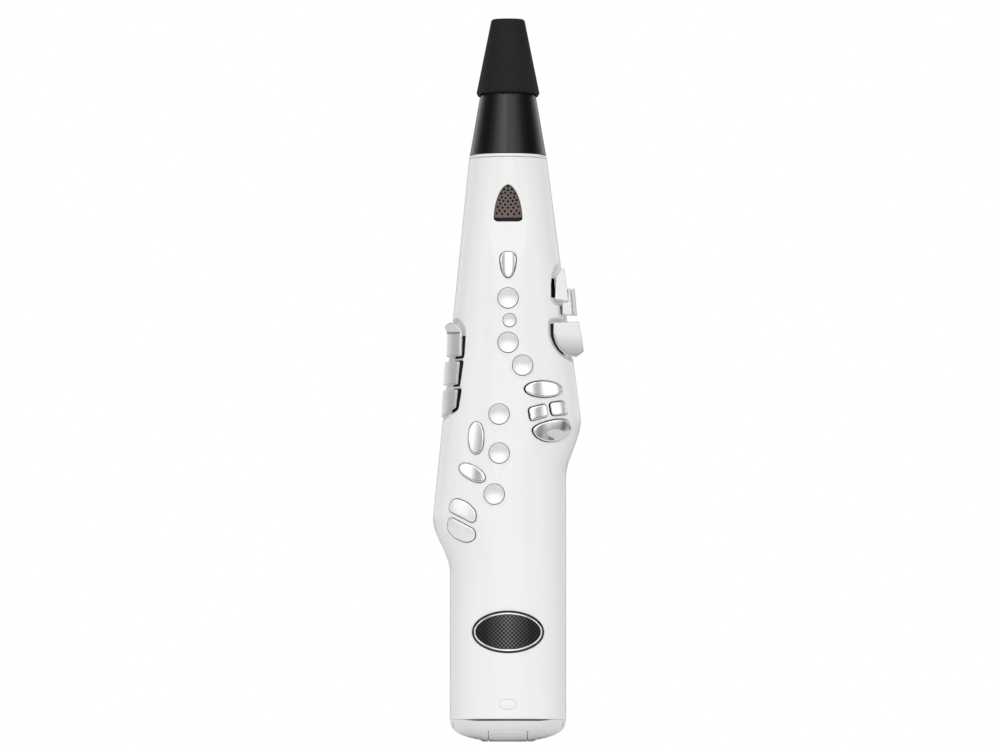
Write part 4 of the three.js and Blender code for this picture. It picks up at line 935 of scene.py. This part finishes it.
RING_RADIUS, WIRE_RADIUS = 10, 1.3
ring_level = LUG_LEVEL - EYE_RADIUS + 0.3 + WIRE_RADIUS - RING_RADIUS
ring_centre = np.array([0, lug_seat.at[1] + EYE_OUT, ring_level])
rings = []
for a in turns(96):
    reach = RING_RADIUS + WIRE_RADIUS * np.cos(turns(24))
    wire = [math.cos(a) * reach, WIRE_RADIUS * np.sin(turns(24)), math.sin(a) * reach]
    rings.append(ring_centre + np.column_stack(wire))
ringed("ring_wire", rings, "strap_ring", "steel", STEEL, ["strap_ring"], loop=True)

# The thumb hook: a base and a half ring that narrows to its tip
HOOK_INNER, HOOK_THICK, HOOK_HALF, HOOK_END = 10.0, 2.6, 7.5, -10
hook_seat = Seat(0, HOOK_LEVEL, 1)
inlaid("hook_base", plaque(15, 26, 3.2), hook_seat, 1.4, RUBBER, "rubber", "thumb_hook", fillet=0.6)
rings = []
c, d = np.cos(turns(32)), np.sin(turns(32))
for a in np.radians(np.linspace(180, HOOK_END, 64)):
    wide = HOOK_HALF * (0.8 + 0.2 * smooth((math.degrees(a) - HOOK_END) / 12))
    across = wide * signed_power(c, 0.28)
    deep = HOOK_INNER + HOOK_THICK / 2 * (1 + signed_power(d, 0.7))
    section = [across, math.sin(a) * deep, HOOK_INNER + HOOK_THICK + math.cos(a) * deep]
    rings.append(hook_seat.place(np.column_stack(section)))
ringed("hook_band", rings, "casing", "rubber", RUBBER, ["thumb_hook"], start=rings[0].mean(0)[None],
       end=rings[-1].mean(0)[None], angle=50)

SOCKETS = 34.0
usb = Seat(-13, SOCKETS, 1)
usb_outline = plaque(10.4, 4.8, 1.6)
crowned("usb_shell", usb_outline, usb, -0.8, STEEL, "steel", "casing", ["usb_socket"], fillet=0.2, skirt=9,
        flat=True, windows=[spaced(plaque(8.6, 2.6, 0.9), 0.4)], step=0.6)
crowned("usb_tongue", plaque(6.6, 0.7, 0.3), usb, -2.4, BLACK_PARTS_AND_SHADE, "steel", "casing", ["usb_socket"], fillet=0.1,
        skirt=7, flat=True, step=0.6)
hole(usb, grown(spaced(usb_outline, 0.5), 0.3), fillet=0.4, depth=3)
phones = Seat(13, SOCKETS, 1)
BARREL = [(4.4, -9), (4.4, -1.0), (4.2, -0.8), (2.9, -0.8), (2.6, -1.3), (1.75, -1.5), (1.75, -9)]
lathed("phones_barrel", BARREL, phones, "casing", "steel", STEEL, ["phones_socket"], closed=False)
hole(phones, circle(9.4), fillet=0.4, depth=3)

SCREWS = {"1": (-15, 397), "2": (15, 397), "3": (-27, 104), "4": (27, 104)}
CROSS = [(-1.5, -0.3), (-0.3, -0.3), (-0.3, -1.5), (0.3, -1.5), (0.3, -0.3), (1.5, -0.3), (1.5, 0.3),
         (0.3, 0.3), (0.3, 1.5), (-0.3, 1.5), (-0.3, 0.3), (-1.5, 0.3)]
for number, (x, z) in SCREWS.items():
    seat = Seat(x, z, 1)
    crowned("screw_head_" + number, circle(5.4, 36), seat, -1.4, STEEL, "steel", "casing",
            ["shell_screw_" + number], fillet=0.35, skirt=2, flat=True, windows=[np.array(CROSS)], step=0.6)
    hole(seat, circle(6.0, 40), fillet=0.5, depth=4)


# The two seams between the shells, as narrow openings along the casing's sides
for side, flare in ((math.pi, LEFT_FLARE), (math.tau, RIGHT_FLARE)):
    z = np.linspace(END_HEIGHT - 0.5, SHELL_TOP + 0.5, 200)
    half = SEAM / 2 / flare_at(z, flare) * CHART_SCALE
    middle = side * CHART_SCALE
    strip = np.vstack([np.column_stack([middle + half, z]), np.column_stack([middle - half, z])[::-1]])
    hole(None, strip, 0.15, SEAM_DEPTH)

# Where the shells need closer points: left, right, foot, top and spacing
FINE_PATCHES = [
    (-19, 19, 328, 400, FINE_STEP),
    (-12, 21, 246, 322, LINE_STEP),
    (-20, 6, 160, 241, LINE_STEP),
    (-46, -24, 222, 300, FINE_STEP),
    (26, 47, 264, 338, FINE_STEP),
    (-10, 10, 19, 32, LINE_STEP),
]


# Reliefs of the casing: the scoop around the grille and the faint raised islands around the round keys
SCOOP_LEVEL, SCOOP_HALF, SCOOP_UP, SCOOP_DOWN = 361, 14.6, 32.5, 37


def scoop(x, z):
    """The shallow hollow around the grille, with a small step at its edge."""
    half = SCOOP_HALF * np.where(z > 360, 1, 1 - 0.14 * (360 - z) / 34)
    reach = np.where(z > SCOOP_LEVEL, SCOOP_UP, SCOOP_DOWN)
    rho = np.sqrt((x / half) ** 2 + ((z - SCOOP_LEVEL) / reach) ** 2)
    return 1.4 * (1 - smooth((rho - 0.35) / 0.65)) + 0.13 * (1 - smooth((rho - 0.93) / 0.07))


def near_line(x, z, a, b, half):
    """Distance to a bar with round ends."""
    d = np.array(b) - a
    t = np.clip(((x - a[0]) * d[0] + (z - a[1]) * d[1]) / (d @ d), 0, 1)
    return np.hypot(x - a[0] - t * d[0], z - a[1] - t * d[1]) - half


def melt(a, b, radius):
    """The smaller of two distances, with a rounded join."""
    h = np.maximum(radius - np.abs(a - b), 0) / radius
    return np.minimum(a, b) - h * h * radius / 4


def island(x, z):
    """Islands that join the round keys of each hand."""
    best = np.full(np.shape(x), 99.0)
    for names in (("key_l1", "key_bis", "key_l2", "key_l3"), ("key_r1", "key_r2", "key_r3")):
        places = [np.array(CHAIN[n][1:]) for n in names]
        reach = None
        for n, p in zip(names, places):
            d = np.hypot(x - p[0], z - p[1]) - CHAIN[n][0] / 2 - 1.7
            reach = d if reach is None else melt(reach, d, 5.0)
        for p, q in zip(places, places[1:]):
            reach = melt(reach, near_line(x, z, p, q, 2.4), 7.0)
        best = np.minimum(best, reach)
    return -0.18 * smooth(0.5 - best / 0.6)


def reliefs(base):
    """How deep the front's reliefs and the rounded lip above the domed end sink the surface."""
    x, y, z = base.T
    near = np.clip(1 - (z - END_HEIGHT) / LIP, 0, 1)
    lip = LIP * (0.3 + 0.7 * frontness(x, y, 0.5, 0.3))
    return np.where(y < -2, scoop(x, z) + island(x, z), 0) + lip * (1 - np.sqrt(1 - near ** 2))


build_shells(WHITE, reliefs)


# Painted shade: a black sheet under the casing, which the real shells don't have, darkens the gaps around the
# keys
def shade_sheet_ring(z, depth):
    """A ring of the black shade sheet at a depth under the casing's surface."""
    return skin(turns(120), np.full(120, z), -depth)


SHADE_SHEET_DEPTH = 5.2
rings = [shade_sheet_ring(z, SHADE_SHEET_DEPTH) for z in np.linspace(END_HEIGHT - 4, CASING_HEIGHT - 3, 80)]
ringed("shell_shade_sheet", rings, "casing", "inner_plastic", BLACK_PARTS_AND_SHADE)


# Collar, neck, mouthpiece and its cap
def level_ring(width, depth, z, sides=96):
    line = ellipse(width, depth, sides=sides)
    return np.column_stack([line, np.broadcast_to(z, sides)])


def stacked(name, profile, body, slot, material, nodes, **more):
    """A piece of level round rings, from radii and heights above the foot."""
    rings = [level_ring(2 * r, 2 * r, z) for r, z in profile]
    return ringed(name, rings, body, slot, material, nodes, **more)


COLLAR = [(24.9, 407.6), (26.9, 407.6), (27.25, 407.9), (27.3, 408.4), (27.2, 409.1), (26.7, 409.7),
          (26.2, 409.8), (24.9, 409.8)]
stacked("collar", COLLAR, "casing", "white_plastic", WHITE, ["collar_ring"], loop=True)

NECK_FOOT, NECK_TOP = 409.8, 454.0
neck = [(24.0, NECK_FOOT - 5), (24.6, NECK_FOOT - 5), (24.6, NECK_FOOT), (26.6, NECK_FOOT + 0.1),
        (26.8, NECK_FOOT + 0.5)]
for t in np.linspace(0, 1, 16)[1:]:
    neck.append((mix(26.8, 19.4, t), mix(NECK_FOOT + 0.5, NECK_TOP - 0.9, t)))
neck += [(19.1, NECK_TOP - 0.3), (18.5, NECK_TOP), (9.3, NECK_TOP), (9.3, NECK_TOP - 5)]
stacked("neck_cone", neck, "casing", "gloss_black", GLOSS_BLACK, ["neck"], angle=25)

FLANGE = [(9, -8), (9, 0), (11.1, 0), (11.5, 0.4), (11.5, 2.6), (11.1, 3), (8.5, 3)]
flange = [(radius, NECK_TOP + height) for radius, height in FLANGE]
stacked("mouthpiece_flange", flange, "casing", "mouthpiece_black", GLOSS_BLACK, ["mouthpiece"])
# The beak: out along its surface, then back down the air slot
BEAK_FOOT, BEAK_LENGTH = NECK_TOP + 2.7, 42.3
rings = []
for t in np.linspace(0, 1, 24):
    tip = 1 - 0.06 * smooth((t - 0.93) / 0.07)
    rings.append(level_ring(mix(18, 16, t) * tip, mix(18, 6, t) * tip, BEAK_FOOT + t * BEAK_LENGTH, 64))
for t in np.linspace(1, 0, 12):
    opened = smooth((t - 0.7) / 0.3)
    rings.append(level_ring(mix(3.6, 11, opened), mix(3.6, 1.6, opened), BEAK_FOOT + t * BEAK_LENGTH, 64))
ringed("mouthpiece_beak", rings, "casing", "mouthpiece_black", GLOSS_BLACK, ["mouthpiece"])

# The cap: up its inside, around its wavy lip and up its outside to a rounded top
CAP_FOOT, CAP_TOP, CAP_FOOT_WIDTH, CAP_WIDTH, CAP_DEPTH = 451.0, 506.5, 44, 24, 17
CAP_WALL, LIP_HEIGHT, CAP_ROUND, CAP_INSIDE = 2.2, 3.4, 2.6, 51
front = np.abs(np.sin(turns(96)))
dip = smooth(front / 0.5) * (3.2 - 1.6 * front)


def cap_ring(share, z, wall=0.0):
    """A ring of the cap at a share of its taper."""
    width, depth = mix(CAP_FOOT_WIDTH, CAP_WIDTH, share), mix(CAP_FOOT_WIDTH, CAP_DEPTH, share)
    return level_ring(width - 2 * wall, depth - 2 * wall, z)


rings = []
for share in 0.93 * np.linspace(1, 0, 14):
    rings.append(cap_ring(share, CAP_FOOT + LIP_HEIGHT + CAP_INSIDE * share, CAP_WALL))
rings.append(level_ring(39.6, 39.6, CAP_FOOT + 0.6 + dip))
for t in np.linspace(0, 1, 7):
    width = 2 * (20.0 + 2.0 * math.sin(t * math.pi / 2) ** 0.8)
    rings.append(level_ring(width, width, CAP_FOOT + mix(dip, LIP_HEIGHT, t)))
for t in np.linspace(0, 1, 28)[1:]:
    rings.append(cap_ring(t, mix(CAP_FOOT + LIP_HEIGHT, CAP_TOP - CAP_ROUND, t)))
for t in np.radians(np.linspace(15, 90, 6)):
    rings.append(cap_ring(1, CAP_TOP - CAP_ROUND + 2.4 * math.sin(t), CAP_ROUND * (1 - math.cos(t))))
for t in (0.7, 0.35):
    rings.append(level_ring(18.8 * t, 11.8 * t, CAP_TOP - 0.2 * t * t))
ringed("cap_hood", rings, "mouthpiece_cap", "cap_black", MATTE_BLACK, ["mouthpiece_cap"],
       start=np.array([[0, 0, CAP_FOOT + LIP_HEIGHT + CAP_INSIDE * 0.93]]), end=np.array([[0, 0, CAP_TOP]]),
       angle=50)


# The domed end, drawn in plan, with the battery door in it: it slants in below the key side
END_ROUNDNESS, SLANT_ROUNDNESS, END_INSET, END_GAP, ROUNDED_DROP = 2.4, 1.3, 0.028, 0.8, 0.004
DOME_SHARES = np.linspace(0, 1, 61)
LAND_SCALE = 18.3 / TUBE_HALF


def end_scale(share, power):
    """The width of a rounded end at a share of its height."""
    return (1 - (1 - share) ** power) ** (1 / power)


def plan_scale(plan):
    """The share of the casing's outline that each point of the plan lies at."""
    value, power = section_level(*plan.T, np.full(len(plan), END_HEIGHT))
    return value ** (1 / power)


def dome_height(plan):
    """Height of the end's surface over points of its plan."""
    scale = plan_scale(plan)
    facing, opened = frontness(*plan.T, 0.17, 0.4), frontness(*plan.T, 0.5, 0.3)
    round_side = np.maximum(end_scale(DOME_SHARES, END_ROUNDNESS), LAND_SCALE)
    slant = mix(LAND_SCALE, 1, end_scale(DOME_SHARES, SLANT_ROUNDNESS))
    heights = np.zeros(len(plan))
    for i in range(len(plan)):
        reach = mix(round_side, slant, facing[i]) * (1 - END_INSET * opened[i])
        heights[i] = np.interp(scale[i], reach, DOME_SHARES) if scale[i] > LAND_SCALE else 0
    return heights * (END_HEIGHT - SEAM * (0.4 + 0.6 * opened) - END_GAP * opened)


def depth_at(x, height, depths):
    """Where the dome reaches a height along a line of its plan."""
    rise = dome_height(np.column_stack([np.full(len(depths), x), depths]))
    return [x, np.interp(-height, -rise, depths)]


def plan_ring(scale, angles):
    """A ring in plan with the casing's outline."""
    return skin(angles, np.full(len(angles), END_HEIGHT))[:, :2] * scale


def dome_piece(name, outer, windows, body, nodes, is_rim=False):
    """The dome's skin within an outline and outside its windows, with rounded edges and walls."""
    scales = np.r_[np.linspace(0.06, 0.9, 25), np.linspace(0.915, 0.99, 12)]
    grid = np.vstack([plan_ring(s, turns(180)) for s in scales])
    grid = grid[distance_to(grid, outer) < -0.5]
    for line in windows:
        grid = grid[distance_to(grid, line) > 0.5]
    at_rim = [(0, 0)] if is_rim else None
    verts, faces, sink = face_between(outer, windows, grid, fillet_rings(0.3, 3), at_rim)
    top = np.column_stack([verts * (1 - ROUNDED_DROP * sink[:, None]), dome_height(verts) + sink])

    def wall_top(line, lip):
        scale, up = (0.94, 0.1) if is_rim and line is outer else (0.985, 2.2)
        return top[lip] * (scale, scale, 1) + (0, 0, up)

    points, faces = with_walls(top, verts, faces, [outer, *windows], wall_top)
    new_object(name, points, faces, body, WHITE, nodes)


DOOR_HALF, DOOR_HEIGHT, DOOR_EDGE, DOOR_GAP = 13.7, 6.7, 10.5, 0.2
door_line = [depth_at(x, DOOR_HEIGHT, np.linspace(-29.5, -12, 120))
             for x in np.linspace(-DOOR_HALF, DOOR_HALF, 40)]
door_line = spaced(np.array(door_line + [[DOOR_HALF, DOOR_EDGE], [-DOOR_HALF, DOOR_EDGE]]), 0.5)

# Two short slits beside the door, each between two places and heights
slit_top, slit_foot = (np.array(depth_at(x, height, np.linspace(-22, -1, 200)))
                       for x, height in ((38.3, 13.0), (37.3, 8.6)))
along = (slit_foot - slit_top) / np.linalg.norm(slit_foot - slit_top)
out = np.array([along[1], -along[0]]) * 0.42
slit = np.array([slit_top - out, slit_top + out, slit_foot + out, slit_foot - out])
slits = [spaced(slit, 0.4), spaced((slit * (-1, 1))[::-1], 0.4)]

rim = plan_ring(1.0, turns(360))
# Painted shade: a black sheet inside the domed end darkens the gap under the shell's lip
rings = []
for scale in (0.8, 0.86, 0.92):
    plan = plan_ring(scale, turns(120))
    rings.append(np.column_stack([plan, dome_height(plan) + 1.6]))
rings.append(shade_sheet_ring(END_HEIGHT + 1.5, 3.0))
ringed("dome_shade_sheet", rings, "casing", "inner_plastic", BLACK_PARTS_AND_SHADE)
dome_piece("end_dome", rim, [grown(door_line, DOOR_GAP), *slits], "casing", ["end_cap"], is_rim=True)
dome_piece("door_panel", grown(door_line, -DOOR_GAP), [], "battery_door", ["battery_door"])

# What stays as the solids made it
for look_of, names in (
    (BOARD, ("key_board", "main_board")), (CELL, ("battery_cell",)), (RUBBER, ("air_tube",)),
    (BLACK_PARTS_AND_SHADE, ("battery_sleeve", "speaker", "breath_sensor")), (STEEL, ("dial_encoder", "door_pin")),
):
    for name in names:
        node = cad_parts[name]
        node.data.materials.clear()
        node.data.materials.append(look_of)


# Camera: the picture is 1000 by 750 pixels, and the object's foot and axis lie at known ones
PIXEL = 0.7 * MM
PICTURE_WIDTH, PICTURE_HEIGHT, FOOT_ROW, AXIS_COLUMN = 1000, 750, 741, 508
middle = ((PICTURE_WIDTH / 2 - AXIS_COLUMN) * PIXEL, (FOOT_ROW - PICTURE_HEIGHT / 2) * PIXEL)
target = Vector((middle[0], AXIS_DEPTH, FOOT_LEVEL + middle[1]))
camera = bpy.data.cameras.new("camera")
camera.lens = 300
camera.sensor_width = 36
camera.clip_end = 50
eye = bpy.data.objects.new("camera", camera)
bpy.context.scene.collection.objects.link(eye)
distance = PICTURE_WIDTH * PIXEL * camera.lens / camera.sensor_width
lean = math.radians(-3.3)
eye.location = target + Vector((0, -math.cos(lean), math.sin(lean))) * distance
eye.rotation_euler = (target - eye.location).to_track_quat("-Z", "Y").to_euler()
bpy.context.scene.camera = eye
bpy.context.scene.view_settings.view_transform = "Standard"

# A white studio: a bright front, soft grey strips for the metal, and white where the camera looks
PEAK = 2.1
STRIPS = [(0, 2.1), (0.04, 2.05), (0.085, 1.5), (0.115, 0.6), (0.145, 0.6), (0.19, 1.5), (0.31, 1.34),
          (0.35, 0.55), (0.38, 0.55), (0.42, 1.18), (0.468, 1.12), (0.495, 0.6), (0.58, 0.6), (0.68, 0.88),
          (0.73, 1.0), (0.76, 1.15), (0.84, 1.2), (0.87, 0.3), (0.93, 0.3), (0.96, 1.1), (1, 1.1)]
STREAK = [(0, 2.1), (0.1, 1.85), (0.2, 1.1), (0.3, 0.35), (0.4, 0.12), (1, 0.12)]
world = bpy.data.worlds.new("studio")
bpy.context.scene.world = world
world.use_nodes = True
g = Graph(world.node_tree)
direction = g.node("SeparateXYZ", {"Vector": g.node("TexCoord").outputs["Generated"]})
azimuth = g.maths("ARCTAN2", direction.outputs["X"], g.maths("MULTIPLY", direction.outputs["Y"], -1))
azimuth = g.maths("DIVIDE", g.maths("ABSOLUTE", azimuth), math.pi)
rise = g.maths("MULTIPLY_ADD", direction.outputs["Z"], 0.5, 0.5)
strips, streak = (g.ramp(azimuth, [(at, level / PEAK) for at, level in stops]) for stops in (STRIPS, STREAK))
low = g.ramp(rise, [(0, 0.4), (0.42, 0.5), (0.455, 0.3), (0.48, 0.35), (0.54, 1.0)])
above = g.ramp(rise, [(0.63, 0.0), (0.66, 1.0), (0.74, 1.0), (0.79, 0.0)])
left_of = g.maths("LESS_THAN", direction.outputs["X"], -0.09)
streak = g.maths("MULTIPLY", streak, g.maths("MULTIPLY_ADD", left_of, 0.4, 0.9))
around = g.node("Mix", {"Factor": above, "A": strips, "B": streak}, data_type="FLOAT").outputs[0]
studio = g.maths("MULTIPLY", g.maths("MULTIPLY", around, PEAK), low)
camera_ray = g.node("LightPath").outputs["Is Camera Ray"]
white = g.node("Mix", {"Factor": camera_ray, "A": studio, "B": 1.0}, data_type="FLOAT")
g.set(g.nodes["Background"].inputs["Strength"], white.outputs[0])
g.nodes["Background"].inputs["Color"].default_value = (1, 1, 1, 1)

# Floor: a pale disc whose underside lets light and the low camera through
bm = bmesh.new()
bmesh.ops.create_circle(bm, cap_ends=True, segments=96, radius=1.5)
floor_mesh = bpy.data.meshes.new("floor")
bm.to_mesh(floor_mesh)
bm.free()
floor = bpy.data.objects.new("floor", floor_mesh)
floor.location = (0, AXIS_DEPTH, FOOT_LEVEL - 0.0002)
bpy.context.scene.collection.objects.link(floor)
pale = look("pale_floor", (0.82, 0.82, 0.82), 0.7, tint=0.01, grain=0.05, grain_scale=60)
floor_mesh.materials.append(pale)
g = Graph(pale.node_tree)
either = g.node("MixShader", {0: g.node("NewGeometry").outputs["Backfacing"],
                              1: g.nodes["Principled BSDF"].outputs[0],
                              2: g.node("BsdfTransparent").outputs[0]})
g.set(g.nodes["Material Output"].inputs["Surface"], either.outputs[0])
